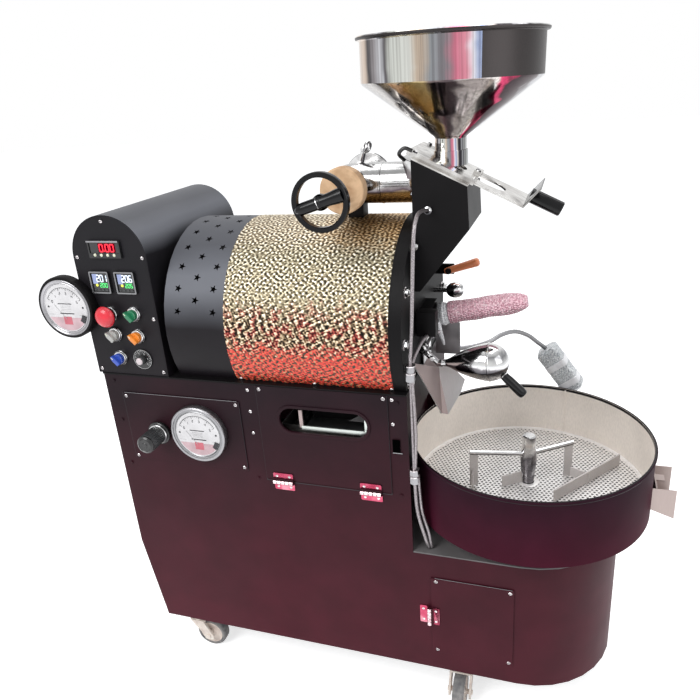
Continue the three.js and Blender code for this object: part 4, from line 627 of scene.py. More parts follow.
BLACK = plastic("black_plastic_look", (0.012, 0.012, 0.013), 0.35)
RED = plastic("red_plastic_look", (0.72, 0.025, 0.045), 0.3)
GREEN = plastic("green_plastic_look", (0.02, 0.2, 0.09), 0.3)
GREY = plastic("grey_plastic_look", (0.42, 0.42, 0.4), 0.35)
ORANGE = plastic("orange_plastic_look", (0.85, 0.26, 0.03), 0.3)
BLUE = plastic("blue_plastic_look", (0.035, 0.09, 0.5), 0.3)
SCREW = mirror_steel(
    "screw_steel", [(0.35, (0.4, 0.36, 0.37)), (0.6, (0.9, 0.86, 0.87))], (1, 1, 1), 300.0, 0.25,
)
DIAL = dial_look()
# Black for print, also laid as painted shade in panel gaps and screw slots.
INK_AND_SHADE = plastic("ink", (0.035, 0.035, 0.04), 0.6, 0.0)
BEZEL = brushed("bezel_grey", (0.28, 0.28, 0.29), 0.35, (1, 1, 1))
GREY_LABEL = plastic("label_grey", (0.5, 0.5, 0.5), 0.5, 0.0)
GLOW_RED = glow("glow_red", (1.0, 0.02, 0.04), 1.6)
GLOW_WHITE = glow("glow_white", (0.75, 0.85, 1.0), 0.9)
GLOW_GREEN = glow("glow_green", (0.1, 0.8, 0.2), 0.7)
PINK = film_look("wrapped_grip", (0.8, 0.44, 0.52), 0.3)
# A darker copy of the grip film, for painted shade on its underside.
PINK_PAINTED_SHADE = film_look("wrapped_grip_shade", (0.4, 0.12, 0.19), 0.3)
CLEAR = film_look("clear_film", (0.72, 0.72, 0.74), 0.6)
DISC_WOOD = wood_look("disc_wood", (0.36, 0.2, 0.1), (0.6, 0.4, 0.24), (1, 0.2, 1))
LEVER_WOOD = wood_look("lever_wood", (0.45, 0.1, 0.04), (0.75, 0.24, 0.1), (0.15, 1, 1), 0.35, 0.4)
BRAID = braid_look()
RUBBER = rubber_look()
CREAM = cream_look()
GLASS_DARK = plastic("display_face", (0.01, 0.01, 0.011), 0.18, 0.8)
DARK_STEEL = brushed("dark_steel", (0.16, 0.16, 0.165), 0.42, (1, 1, 1))
PATCH = plastic("patch_red", (0.62, 0.16, 0.2), 0.5, 0.0)
BEZEL_PALE = brushed("bezel_pale", (0.36, 0.355, 0.37), 0.28, (1, 1, 1))
GLOW_DIM = glow("glow_dim", (0.16, 0.0, 0.012), 1.0)
GLOW_HAZE = glow("glow_haze", (0.22, 0.26, 0.42), 0.8)
GLOW_YELLOW = glow("glow_yellow", (0.7, 0.75, 0.08), 0.8)
KEY_PALE = plastic("key_pale", (0.78, 0.8, 0.62), 0.35)
GREY_DARK = plastic("grip_grey", (0.045, 0.048, 0.05), 0.45)
GREEN_DARK = plastic("sleeve_green", (0.03, 0.1, 0.07), 0.4)
RED_PALE = plastic("arrow_red", (0.85, 0.25, 0.25), 0.4)
LABEL_WHITE = plastic("label_white", (0.7, 0.7, 0.7), 0.5, 0.0)
KNOB_PALE = plastic("knob_pale", (0.68, 0.6, 0.62), 0.35)
BLACK_GLOSS = plastic("black_gloss", (0.004, 0.004, 0.005), 0.16, 0.0, 0.24)
# Black for painted shade in an opening.
VOID = plastic("void_black", (0.001, 0.001, 0.001), 0.9, 0.0, 0.0)
PADDLE = brushed("paddle_steel", (0.5, 0.47, 0.46), 0.5, (1, 1, 1), 0.14, 0.5)
SHELF = powder_coat("shelf_coat", (0.13, 0.125, 0.125), (0.15, 0.145, 0.145), 0.3, 0.4, 0.5, 0.2)
OUTLET = brushed("outlet_steel", (0.42, 0.35, 0.33), 0.45, (1, 1, 0.1), 0.08)
WINDOW_PALE = brushed("window_pale", (0.62, 0.66, 0.63), 0.4, (1, 1, 1), 0.06)
DIAL_BLUSH = plastic("dial_blush", (0.62, 0.44, 0.47), 0.5, 0.0)
LAMP_FILM = film_look("lamp_film", (0.52, 0.55, 0.57), 0.5)
# SPOUT_PALE and SPOUT_WARM serve as lit and shaded copies of the spout's steel.
SPOUT_PALE = brushed("spout_pale", (0.9, 0.89, 0.89), 0.4, (1, 1, 0.06), 0.06, 0.2)
SPOUT_WARM = brushed("spout_warm", (0.4, 0.32, 0.31), 0.42, (1, 1, 0.06), 0.08, 0.6)
SPOUT_DARK = brushed("spout_dark", (0.17, 0.16, 0.165), 0.4, (1, 1, 0.06), 0.08)
FILM_WHITE = plastic("film_white", (0.8, 0.8, 0.82), 0.3, 0.5)


# Mesh helpers
def link_mesh(name, points, faces, material, body, angle=32.0):
    mesh = bpy.data.meshes.new(name)
    mesh.from_pydata([place(*p) for p in points], [], faces)
    mesh.validate()
    made = bpy.data.objects.new(name, mesh)
    bpy.context.scene.collection.objects.link(made)
    bm = bmesh.new()
    bm.from_mesh(mesh)
    bmesh.ops.remove_doubles(bm, verts=bm.verts, dist=1e-6)
    bmesh.ops.recalc_face_normals(bm, faces=bm.faces)
    bm.to_mesh(mesh)
    bm.free()
    mesh.materials.append(material)
    mesh.shade_smooth()
    mesh.set_sharp_from_angle(angle=math.radians(angle))
    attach(made, body)
    return made


def basis(direction):
    """Two directions square to the given one."""
    along = Vector(direction).normalized()
    helper = Vector(UP) if abs(along.z) < 0.9 else Vector(RIGHT)
    side = helper.cross(along).normalized()
    return along, side, along.cross(side)


def tube_faces(rings, sides, capped=True):
    """Faces of a tube whose points lie in rings one after the other."""
    faces = []
    for i in range(rings - 1):
        for k in range(sides):
            n = (k + 1) % sides
            faces.append((i * sides + k, i * sides + n, (i + 1) * sides + n, (i + 1) * sides + k))
    if capped:
        faces.append(tuple(range(sides)))
        faces.append(tuple((rings - 1) * sides + k for k in reversed(range(sides))))
    return faces


def prism_faces(count):
    """Faces between an outline and its copy."""
    faces = [tuple(range(count)), tuple(range(2 * count - 1, count - 1, -1))]
    faces += [(i, (i + 1) % count, count + (i + 1) % count, count + i) for i in range(count)]
    return faces


def turned(name, profile, origin, direction, material, body, steps=64, arc=None, angle=32.0):
    """A profile of (radius, distance along) turned about a line; arc is (from, to) in degrees."""
    along, side, other = basis(direction)
    start = Vector(origin)
    first, last = (0.0, 360.0) if arc is None else arc
    closed = arc is None
    count = steps if closed else steps + 1
    points = []
    for i in range(count):
        a = math.radians(first + (last - first) * i / steps)
        out = math.cos(a) * side + math.sin(a) * other
        for radius, height in profile:
            points.append(tuple(start + along * height + out * radius))
    size = len(profile)
    faces = []
    for i in range(steps):
        k = (i + 1) % count
        for j in range(size - 1):
            faces.append((i * size + j, i * size + j + 1, k * size + j + 1, k * size + j))
    return link_mesh(name, points, faces, material, body, angle)


def smooth_path(points, steps):
    """Points of a smooth curve through the given ones."""
    p = [Vector(q) for q in points]
    p = [p[0] * 2 - p[1]] + p + [p[-1] * 2 - p[-2]]
    out = []
    for i in range(1, len(p) - 2):
        for s in range(steps):
            t = s / steps
            out.append(0.5 * ((2 * p[i]) + (p[i + 1] - p[i - 1]) * t
                              + (2 * p[i - 1] - 5 * p[i] + 4 * p[i + 1] - p[i + 2]) * t ** 2
                              + (3 * p[i] - p[i - 1] - 3 * p[i + 1] + p[i + 2]) * t ** 3))
    out.append(p[-2])
    return out


def swept(name, points, radius, material, body, sides=16, radius_of=None):
    """A round tube along points; radius_of(share) scales it along the way."""
    path = [Vector(q) for q in points]
    tangents = []
    for i in range(len(path)):
        ahead = path[min(i + 1, len(path) - 1)]
        behind = path[max(i - 1, 0)]
        tangents.append((ahead - behind).normalized())
    _, side, _ = basis(tangents[0])
    rings = []
    for point, tangent in zip(path, tangents):
        side = (side - tangent * side.dot(tangent)).normalized()
        other = tangent.cross(side)
        share = len(rings) / max(1, len(path) - 1)
        r = radius * (radius_of(share) if radius_of else 1.0)
        rings.append(
            [
                tuple(point + (math.cos(a) * side + math.sin(a) * other) * r)
                for a in (2 * math.pi * k / sides for k in range(sides))
            ]
        )
    points = [q for ring in rings for q in ring]
    return link_mesh(name, points, tube_faces(len(rings), sides), material, body, 50.0)


def bevelled(made, width_mm, segments=2, angle=30.0):
    """Rounds the sharp edges of a piece."""
    bm = bmesh.new()
    bm.from_mesh(made.data)
    limit = math.radians(angle)
    edges = [e for e in bm.edges if len(e.link_faces) == 2 and e.calc_face_angle(0) > limit]
    bmesh.ops.bevel(
        bm, geom=edges, offset=width_mm * MM, segments=segments, profile=0.6, affect="EDGES",
        clamp_overlap=True,
    )
    bm.to_mesh(made.data)
    bm.free()
    made.data.shade_smooth()
    made.data.set_sharp_from_angle(angle=math.radians(40))
    return made


def slab(name, outline, low, high, axis, material, body, edge=0.0):
    """An outline extruded between two places on an axis. Axis "y" takes (x, z), "x" (y, z), "z" (x, y)."""
    order = {
        "x": lambda u, v, w: (w, u, v), "y": lambda u, v, w: (u, w, v), "z": lambda u, v, w: (u, v, w),
    }[axis]
    count = len(outline)
    points = [order(u, v, low) for u, v in outline] + [order(u, v, high) for u, v in outline]
    made = link_mesh(name, points, prism_faces(count), material, body)
    if edge:
        bevelled(made, edge)
    return made


def cuboid(name, x0, x1, y0, y1, z0, z1, material, body, edge=0.6):
    return slab(name, [(x0, z0), (x1, z0), (x1, z1), (x0, z1)], y0, y1, "y", material, body, edge)


def plate_between(name, corners, offset, material, body, edge=0.3):
    """A flat plate through corners, thickened by an offset."""
    count = len(corners)
    shift = Vector(offset)
    points = [tuple(c) for c in corners] + [tuple(Vector(c) + shift) for c in corners]
    made = link_mesh(name, points, prism_faces(count), material, body)
    if edge:
        bevelled(made, edge)
    return made


def circle(u, v, radius, steps, start=0.0, end=360.0):
    count = steps if end - start >= 360 else steps + 1
    return [
        (
            u + radius * math.cos(math.radians(start + (end - start) * i / steps)),
            v + radius * math.sin(math.radians(start + (end - start) * i / steps)),
        )
        for i in range(count)
    ]


def rounded(u0, u1, v0, v1, radius, steps=6):
    out = []
    for u, v, a in (
        (u1 - radius, v0 + radius, -90), (u1 - radius, v1 - radius, 0), (u0 + radius, v1 - radius, 90),
        (u0 + radius, v0 + radius, 180),
    ):
        out += circle(u, v, radius, steps, a, a + 90)
    return out


def joined(name, pieces):
    """Several pieces of one body made into one object."""
    first = pieces[0]
    body = first["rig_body"]
    bm = bmesh.new()
    slots = []
    for piece in pieces:
        start = len(bm.faces)
        bm.from_mesh(piece.data)
        bm.faces.ensure_lookup_table()
        names = list(piece.data.materials)
        for face in bm.faces[start:]:
            material = names[face.material_index]
            if material not in slots:
                slots.append(material)
            face.material_index = slots.index(material)
    mesh = bpy.data.meshes.new(name)
    bm.to_mesh(mesh)
    bm.free()
    for material in slots:
        mesh.materials.append(material)
    made = bpy.data.objects.new(name, mesh)
    bpy.context.scene.collection.objects.link(made)
    for piece in pieces:
        deleted(piece)
    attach(made, body)
    return made


def with_mesh(made, mesh):
    """The piece with a new mesh in place of its old one."""
    old = made.data
    made.data = mesh
    bpy.data.meshes.remove(old)
    return made


def deleted(piece):
    data = piece.data
    bpy.data.objects.remove(piece)
    bpy.data.meshes.remove(data)


def baked(made):
    """The piece with its modifiers applied."""
    graph = bpy.context.evaluated_depsgraph_get()
    mesh = bpy.data.meshes.new_from_object(made.evaluated_get(graph))
    made.modifiers.clear()
    return with_mesh(made, mesh)


def carved(made, cutters):
    """Takes the cutters out of a piece."""
    for cutter in cutters:
        modifier = made.modifiers.new("cut", "BOOLEAN")
        modifier.operation = "DIFFERENCE"
        modifier.solver = "EXACT"
        modifier.object = cutter
    bpy.context.view_layer.update()
    baked(made)
    for cutter in cutters:
        deleted(cutter)
    made.data.shade_smooth()
    made.data.set_sharp_from_angle(angle=math.radians(32))
    return made


def dressed(node, material, edge=0.5, name=None, angle=32.0):
    """A softened copy of a CAD node that stands for it."""
    source = frame["nodes"][node]
    mesh = source.data.copy()
    made = bpy.data.objects.new(name or node + "_dressed", mesh)
    bpy.context.scene.collection.objects.link(made)
    mesh.materials.clear()
    mesh.materials.append(material)
    bm = bmesh.new()
    bm.from_mesh(mesh)
    bmesh.ops.remove_doubles(bm, verts=bm.verts, dist=1e-5)
    bmesh.ops.dissolve_limit(bm, angle_limit=math.radians(1.0), verts=bm.verts, edges=bm.edges)
    if edge:
        edges = [e for e in bm.edges if len(e.link_faces) == 2 and e.calc_face_angle(0) > math.radians(35)]
        bmesh.ops.bevel(
            bm, geom=edges, offset=edge * MM, segments=2, profile=0.6, affect="EDGES", clamp_overlap=True,
        )
    bm.to_mesh(mesh)
    bm.free()
    mesh.shade_smooth()
    mesh.set_sharp_from_angle(angle=math.radians(angle))
    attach(made, source["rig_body"])
    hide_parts(node)
    return made


def painted(node, material):
    """Gives a CAD node that shows as it is a better material."""
    data = frame["nodes"][node].data
    data.materials.clear()
    data.materials.append(material)


def stand_in(piece, node):
    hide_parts(node)


def recolour(made, material, test):
    """Gives a material to the faces whose middle, in drawing millimetres, and normal pass a test."""
    made.data.materials.append(material)
    slot = len(made.data.materials) - 1
    for face in made.data.polygons:
        if test(drawn(face.center), face.normal):
            face.material_index = slot
    return made


# Small fasteners
SCREW_R = 3.2


def pan_screw(at, direction, body="machine", r=SCREW_R, material=None):
    """A domed head with a cross slot."""
    along, side, other = basis(direction)
    start = Vector(at)
    head = [(0, 1.9), (r * 0.45, 1.8), (r * 0.8, 1.35), (r, 0.6), (r, -0.6)]
    piece = turned("screw", head, at, direction, material or SCREW, body, 14)
    # The cross slot is two dark strips on the head: painted shade in the slot.
    marks = []
    for arm, cross in ((side, other), (other, side)):
        corners = [
            start + along * 1.95 + arm * (a * r * 0.62) + cross * (b * r * 0.1)
            for a, b in ((-1, -1), (1, -1), (1, 1), (-1, 1))
        ]
        marks.append(plate_between("slot", corners, along * -0.3, INK_AND_SHADE, body, 0))
    return joined("screw", [piece] + marks)


def hex_bolt(at, direction, r, height, body, material):
    return turned(
        "bolt", [(0, height), (r * 0.8, height), (r, height * 0.75), (r, 0)], at, direction, material, body,
        6,
    )


def screws(name, places, direction, body="machine", r=SCREW_R):
    return joined(name, [pan_screw(p, direction, body, r) for p in places])


def weighted(made):
    """Keeps flat faces evenly lit where they run into rounds."""
    modifier = made.modifiers.new("weights", "WEIGHTED_NORMAL")
    modifier.keep_sharp = True
    return baked(made)


# Cabinet
UPPER_RIGHT = 627
GAUGE_PANEL = (38, 298, 526, 678)
DOOR = (338, 592, 511, 716)
SLOT = (381, 553, 650, 25)
LOWER_DOOR = (656, 817, 146, 331)
LOWER_HINGE_Z = 239
DOOR_HINGES = (374, 552)
HINGE_LENGTH = 42
NOTCH = (598, 612, 603, 629)


def cabinet():
    weighted(dressed("cabinet_shell", CABINET, 0.8))
    weighted(dressed("table_plate", CAST, 0.6))
    weighted(dressed("shelf_plate", SHELF, 0.6))
    weighted(dressed("gauge_panel", CABINET, 0.5))
    x0, x1, z, half = SLOT
    outline = circle(x0 + half, z, half, 24, 90, 270) + circle(x1 - half, z, half, 24, -90, 90)
    weighted(
        carved(
            dressed("access_door", CABINET, 0.5),
            [slab("cutter", outline, -12, 12, "y", CABINET, "machine")],
        )
    )
    weighted(dressed("lower_door", CABINET, 0.5))
    painted("base_frame", DARK_STEEL)
    middle = (GAUGE_PANEL[1] + DOOR[0]) / 2 + 2
    places = [(middle, z) for z in (704, 659, 613)] + [(DOOR[1] + 8, z) for z in (707, 659)]
    screws("shell_screws", [(x, -0.4, z) for x, z in places], FRONT, "machine", 3.4)
    # Dark strips along the door and panel outlines: painted shade in the gaps.
    gaps = [box_outline(x - 0.6, x + 0.6, DOOR[2], DOOR[3]) for x in DOOR[:2]]
    gaps += [box_outline(x - 0.6, x + 0.6, GAUGE_PANEL[2], GAUGE_PANEL[3]) for x in GAUGE_PANEL[:2]]
    gaps += [box_outline(DOOR[0], DOOR[1], DOOR[2] - 0.6, DOOR[2] + 0.6)]
    marks("panel_gaps", gaps, -2.05, INK_AND_SHADE, "machine", 0.1)
    # A black sheet fills the notch: painted shade in its opening.
    marks("notch", [box_outline(*NOTCH)], -2.05, VOID, "machine", 0.1)
    cuboid("notch_lip", NOTCH[0], NOTCH[1] + 4, -3.4, -2, NOTCH[2] - 1.6, NOTCH[2], BEZEL, "machine", 0.2)
    # A pale strip along the gauge panel's top edge: painted highlight.
    cuboid(
        "panel_edge", GAUGE_PANEL[0] + 4, GAUGE_PANEL[1] - 4, -2.6, -2.0, GAUGE_PANEL[3] + 0.1,
        GAUGE_PANEL[3] + 0.8, BEZEL, "machine", 0.1,
    )
    left, right, low, high = GAUGE_PANEL
    holes = [(left / 2 + 2, z) for z in (702, (DOOR[3] + DOOR[2]) / 2, DOOR[2])]
    holes += [(x, DOOR[2]) for x in ((right + DOOR[0]) / 2, (DOOR[1] + UPPER_RIGHT) / 2)]
    holes.append(((DOOR[1] + UPPER_RIGHT) / 2, 702))
    marks("hole_plugs", [circle(x, hole_z, 4.6, 20) for x, hole_z in holes], -0.1, CABINET, "machine", 0.3)
    corners = [(x, -2.9, z) for x in (left + 7, right - 7) for z in (low + 7, high - 7)]
    screws("panel_screws", corners, FRONT, "machine", 3.6)
    screws(
        "door_screws", [(x, -2.9, DOOR[3] - 7) for x in (DOOR[0] + 7, DOOR[1] - 7)], FRONT, "access_door",
        3.7,
    )
    left, right, low, high = LOWER_DOOR
    corners = [(x, -2.9, z) for x in (left + 14, right - 7) for z in (low + 7, high - 7)]
    # A pale strip along the lower door's top edge: painted highlight.
    cuboid("lower_edge", left + 12, right - 3, -2.6, -2.0, high + 0.1, high + 0.9, BEZEL, "lower_door", 0.1)
    screws("lower_door_screws", corners, FRONT, "lower_door", 3.7)


# Drum housing
DRUM_Z = 810
COVER_R = 184.7
COVER = (295, 602.4)
RELIEF_STEP = 1.1
RELIEF_WAVE = 7.2
RELIEF_HEIGHT = 0.7
RELIEF_WAVES = 26
RELIEF_SEED = 7
FOLD_WAVE = 4.6
CRUMB_WAVE = 4.2
COARSE_BELOW = 30
COARSE_BLEND = 16
LINING_DEPTH = 2
TRIM_ARC = (-29.6, 209.6)
COVER_ARC = (-29.4, 209.4)
TRIM = (602.4, 606)
TRIM_R = 187.7


def arc_point(x, radius, degrees):
    a = math.radians(degrees)
    return (x, MIDDLE_Y - radius * math.cos(a), DRUM_Z + radius * math.sin(a))


def wave_field(chance, along, around, pitch, flatness):
    """Waves of about one length and every direction; a low flatness draws them out along the drum."""
    waves = np.zeros_like(along)
    for _ in range(RELIEF_WAVES):
        turn = chance.uniform(0, 2 * math.pi)
        wave = 2 * math.pi / (pitch * chance.uniform(0.8, 1.3))
        across = math.cos(turn) * along * flatness + math.sin(turn) * around
        waves += np.cos(wave * across + chance.uniform(0, 2 * math.pi))
    return waves / waves.std()


def hammered_cover():
    first, last = COVER_ARC
    length = math.radians(last - first) * COVER_R
    columns = round((COVER[1] - COVER[0]) / RELIEF_STEP)
    rows = round(length / RELIEF_STEP)
    u = np.linspace(COVER[0], COVER[1], columns + 1)
    v = np.linspace(0, length, rows + 1)
    along, around = np.meshgrid(u, v, indexing="ij")
    chance = np.random.default_rng(RELIEF_SEED)
    fine = wave_field(chance, along, around, RELIEF_WAVE, 1.0)
    coarse = wave_field(chance, along, around, RELIEF_WAVE * 1.2, 0.72)
    coarse += wave_field(chance, along, around, FOLD_WAVE, 0.8) * 0.85
    coarse /= coarse.std()
    turned_by = first + np.degrees(around / COVER_R)
    share = np.clip((COARSE_BELOW - turned_by) / COARSE_BLEND, 0, 1)
    crumbs = wave_field(chance, along, around, CRUMB_WAVE, 0.9)
    fine = (fine + crumbs * 0.45) / 1.1
    relief = np.clip(0.5 + 0.34 * (fine * (1 - share) + coarse * share), 0, 1)
    radius = COVER_R + RELIEF_HEIGHT * (relief - 0.5) * 2
    angle = math.radians(first) + around / COVER_R
    points = np.stack([along, MIDDLE_Y - radius * np.cos(angle), DRUM_Z + radius * np.sin(angle)], axis=-1)
    points = points.reshape(-1, 3)
    faces = []
    for i in range(columns):
        for j in range(rows):
            a = i * (rows + 1) + j
            b = a + rows + 1
            faces.append((a, b, b + 1, a + 1))
    mesh = bpy.data.meshes.new("drum_cover_hammered")
    mesh.from_pydata([place(*p) for p in points.tolist()], [], faces)
    shade = mesh.attributes.new("relief", "FLOAT", "POINT")
    shade.data.foreach_set("value", relief.reshape(-1).astype(np.float32))
    made = bpy.data.objects.new("drum_cover_hammered", mesh)
    bpy.context.scene.collection.objects.link(made)
    mesh.materials.append(HAMMERED)
    mesh.shade_smooth()
    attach(made, "machine")
    wide = TRIM[1] - TRIM[0]
    trim_profile = [
        (TRIM_R - 4, 0), (TRIM_R - 0.8, 0), (TRIM_R, 0.8), (TRIM_R, wide - 0.8), (TRIM_R - 0.8, wide),
        (TRIM_R - 4, wide),
    ]
    turned("cover_trim", trim_profile, (TRIM[0], MIDDLE_Y, DRUM_Z), RIGHT, CAST, "machine", 120, TRIM_ARC)
    turned(
        "cover_lining", [(COVER_R - LINING_DEPTH, 0), (COVER_R - LINING_DEPTH, COVER[1] - COVER[0])],
        (COVER[0], MIDDLE_Y, DRUM_Z), RIGHT, CAST, "machine", 90, COVER_ARC,
    )
    stand_in(made, "drum_cover")


def round_shaded(made):
    """Lights the flats of the drum's round sheet as one smooth curve."""
    mesh = made.data
    normals = []
    for face in mesh.polygons:
        middle = drawn(face.center)
        out = Vector((0, middle.y - MIDDLE_Y, middle.z - DRUM_Z)).normalized()
        side = out.dot(face.normal)
        for loop in face.loop_indices:
            point = drawn(mesh.vertices[mesh.loops[loop].vertex_index].co)
            radial = Vector((0, point.y - MIDDLE_Y, point.z - DRUM_Z)).normalized()
            normals.append(radial * math.copysign(1, side) if abs(side) > 0.93 else face.normal.copy())
    mesh.normals_split_custom_set(normals)


def housing():
    hammered_cover()
    round_shaded(dressed("drive_guard", BOX, 0.0))
    face = weighted(dressed("face_plate", CAST, 1.0))
    # Faces that look right, and the plate past x 627, get a near-black coat.
    recolour(face, NEAR_BLACK, lambda p, n: n.x > 0.4 or p.x > 627)
    painted("rear_plate", CAST)
    painted("roasting_drum", DARK_STEEL)
    painted("motor_sprocket", DARK_STEEL)
    painted("drive_chain", DARK_STEEL)
    painted("drive_motor", CAST)
    painted("burner", STEEL)
    painted("stirrer_motor", CAST)
    painted("cooling_fan", CAST)


# Control box
def control_box():
    weighted(dressed("control_box", BOX, 1.2))
    dressed("control_panel", BOX, 0.0).data.shade_flat()


# Hopper and chute
HOPPER_R = 149.5
HOPPER_RIM_R = 155.7
HOPPER_CONE_Z = 1127
HOPPER_CYL_Z = 1218
HOPPER_RIM_Z = 1290
HOPPER_LEAN = 0.018


def hopper():
    foot = 1100
    top = HOPPER_RIM_Z
    profile = [
        (27, foot), (27, HOPPER_CONE_Z), (29, HOPPER_CONE_Z + 3), (HOPPER_R - 3, HOPPER_CYL_Z - 2),
        (HOPPER_R, HOPPER_CYL_Z + 2), (HOPPER_R, top - 8), (HOPPER_R + 1.5, top - 6.5),
        (HOPPER_RIM_R - 1.5, top - 6), (HOPPER_RIM_R, top - 4), (HOPPER_RIM_R, top - 1.6),
        (HOPPER_RIM_R - 1.5, top), (HOPPER_R - 1, top), (HOPPER_R - 2, top - 1),
        (HOPPER_R - 2, HOPPER_CYL_Z + 2), (HOPPER_R - 5, HOPPER_CYL_Z), (27, HOPPER_CONE_Z + 5),
        (25, HOPPER_CONE_Z), (25, foot), (27, foot),
    ]
    lean = Vector((math.sin(HOPPER_LEAN), 0, math.cos(HOPPER_LEAN)))
    start = Vector((NECK_X, MIDDLE_Y, HOPPER_CONE_Z)) - lean * HOPPER_CONE_Z
    made = turned("hopper_steel_shell", profile, start, lean, HOPPER, "machine", 160)
    recolour(made, CONE, lambda p, n: HOPPER_CONE_Z < p.z < HOPPER_CYL_Z + 4 - (p.x - NECK_X) * HOPPER_LEAN)

    def on_rim(p, n):
        away = math.hypot(p.x - NECK_X, p.y - MIDDLE_Y)
        return away > HOPPER_R + 1.0 and p.z < HOPPER_RIM_Z - 1.0 - (p.x - NECK_X) * HOPPER_LEAN

    recolour(made, RIM_SHADE, on_rim)
    stand_in(made, "hopper")


def chute():
    weighted(dressed("feed_chute", CAST, 0.8))


# Cooling bin
BIN_X = 825
BIN_FOOT = (BIN_X, MIDDLE_Y, 0)
BIN_R = 227
BIN_FLOOR = 459
POST_DROP = 13
POST_GROWTH = 0.22


def cooling_bin():
    outer = [
        (166, 431), (BIN_R - 1.5, 431), (BIN_R, 432.5), (BIN_R, 560.5), (BIN_R + 2.5, 561.5),
        (BIN_R + 2.5, 564.5), (BIN_R + 1.5, 566), (224.5, 566),
    ]
    wall = turned("bin_wall_outside", outer, BIN_FOOT, UP, BIN_OUT, "machine", 128)
    lining = turned("bin_wall_inside", [(224.5, 566), (224.5, 456)], BIN_FOOT, UP, BIN_IN, "machine", 128)
    stand_in(joined("bin_wall_smooth", [wall, lining]), "bin_wall")
    weighted(dressed("bin_outlet", OUTLET, 0.4))
    weighted(dressed("bin_gate", OUTLET, 0.4))
    stirrer = dressed("stirrer", PADDLE, 0.5)
    for vertex in stirrer.data.vertices:
        point = drawn(vertex.co)
        if point.z > 520 and math.hypot(point.x - BIN_X, point.y - MIDDLE_Y) < 20:
            vertex.co.z -= POST_DROP * MM
        away = math.hypot(point.x - BIN_X, point.y - MIDDLE_Y)
        if away < 15.5 and point.z > 462:
            vertex.co.x += (point.x - BIN_X) * POST_GROWTH * MM
            vertex.co.y += (point.y - MIDDLE_Y) * POST_GROWTH * MM
    recolour(stirrer, CHROME, lambda p, n: math.hypot(p.x - BIN_X, p.y - MIDDLE_Y) < 24 or p.z > 500)
    weighted(stirrer)


# Castors
WHEEL_MIDDLE_Z = 37
WHEEL_R = 37
FORK_GROWTH = 0.4


def castors():
    for corner in ("front_left", "front_right", "rear_left", "rear_right"):
        low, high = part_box("castor_wheel_" + corner)
        middle = drawn((low + high) / 2)
        size = (high - low) / MM
        along = RIGHT if size.x < size.y else REAR
        fork = dressed("castor_fork_" + corner, CREAM, 0.6)
        for vertex in fork.data.vertices:
            point = drawn(vertex.co)
            vertex.co += Vector(along) * (point - middle).dot(Vector(along)) * FORK_GROWTH * MM
        weighted(fork)
        half = min(size.x, size.y) / 2
        at = (middle.x, middle.y, WHEEL_MIDDLE_Z)
        body = "wheel_" + corner
        tread = [
            (WHEEL_R - 9, -half + 1), (WHEEL_R - 3, -half), (WHEEL_R - 0.6, -half + 3),
            (WHEEL_R, -half + 7), (WHEEL_R, half - 7), (WHEEL_R - 0.6, half - 3), (WHEEL_R - 3, half),
            (WHEEL_R - 9, half - 1),
        ]
        hub = [
            (0, -half + 2), (8, -half + 2), (10, -half + 4), (WHEEL_R - 12, -half + 4),
            (WHEEL_R - 9, -half + 0.8), (WHEEL_R - 8, -half + 1.2),
        ]
        pieces = [turned("tread", tread, at, along, RUBBER, body, 64)]
        for sign in (-1, 1):
            profile = [(r, h * -sign) for r, h in hub]
            pieces.append(turned("hub", profile, at, along, CREAM, body, 48))
            pieces.append(
                turned(
                    "axle",
                    [(0, sign * (half - 0.5)), (4.6, sign * (half - 0.5)), (5.2, sign * (half - 3))], at,
                    along, CHROME, body, 24,
                )
            )
        stand_in(joined("castor_wheel_" + corner + "_smooth", pieces), "castor_wheel_" + corner)


# Flat marks and digits
SEGMENTS = {
    "a": ((0, 1), (1, 1)), "b": ((1, 1), (1, 0.5)), "c": ((1, 0.5), (1, 0)), "d": ((0, 0), (1, 0)),
    "e": ((0, 0.5), (0, 0)), "f": ((0, 1), (0, 0.5)), "g": ((0, 0.5), (1, 0.5)),
}
DIGITS = {
    "0": "abcdef", "1": "bc", "2": "abged", "3": "abgcd", "4": "fgbc", "5": "afgcd", "6": "afgedc",
    "7": "abc", "8": "abcdefg", "9": "abfgcd",
}


def bar(start, end, width):
    """Corners of a thin bar between two points of a face."""
    a = Vector(start)
    b = Vector(end)
    along = (b - a).normalized()
    side = Vector((-along.y, along.x)) * width / 2
    return [tuple(a - side), tuple(b - side), tuple(b + side), tuple(a + side)]


def digit(figure, x, z, width, height, line):
    quads = []
    for key in DIGITS[figure]:
        (u0, v0), (u1, v1) = SEGMENTS[key]
        a = Vector((x + u0 * width, z + v0 * height))
        b = Vector((x + u1 * width, z + v1 * height))
        trim = (b - a).normalized() * line * 0.4
        quads.append(bar(a + trim * 0.4, b - trim * 0.4, line))
    return quads


def number(text, x, z, width, height, line, gap=0.45):
    quads = []
    for i, figure in enumerate(text):
        quads += digit(figure, x + i * width * (1 + gap), z, width, height, line)
    return quads


def marks(name, outlines, y, material, body="machine", depth=0.3):
    """Thin flat marks that stand on a face that looks towards the front."""
    points = []
    faces = []
    for outline in outlines:
        count = len(outline)
        base = len(points)
        points += [(u, y, v) for u, v in outline] + [(u, y - depth, v) for u, v in outline]
        faces.append(tuple(base + i for i in range(count)))
        faces.append(tuple(base + 2 * count - 1 - i for i in range(count)))
        for i in range(count):
            k = (i + 1) % count
            faces.append((base + i, base + k, base + count + k, base + count + i))
    return link_mesh(name, points, faces, material, body)


def box_outline(x0, x1, z0, z1):
    return [(x0, z0), (x1, z0), (x1, z1), (x0, z1)]


def tick(x, z, degrees, r0, r1, width):
    a = math.radians(degrees)
    ray = Vector((math.cos(a), math.sin(a)))
    return bar(Vector((x, z)) + ray * r0, Vector((x, z)) + ray * r1, width)


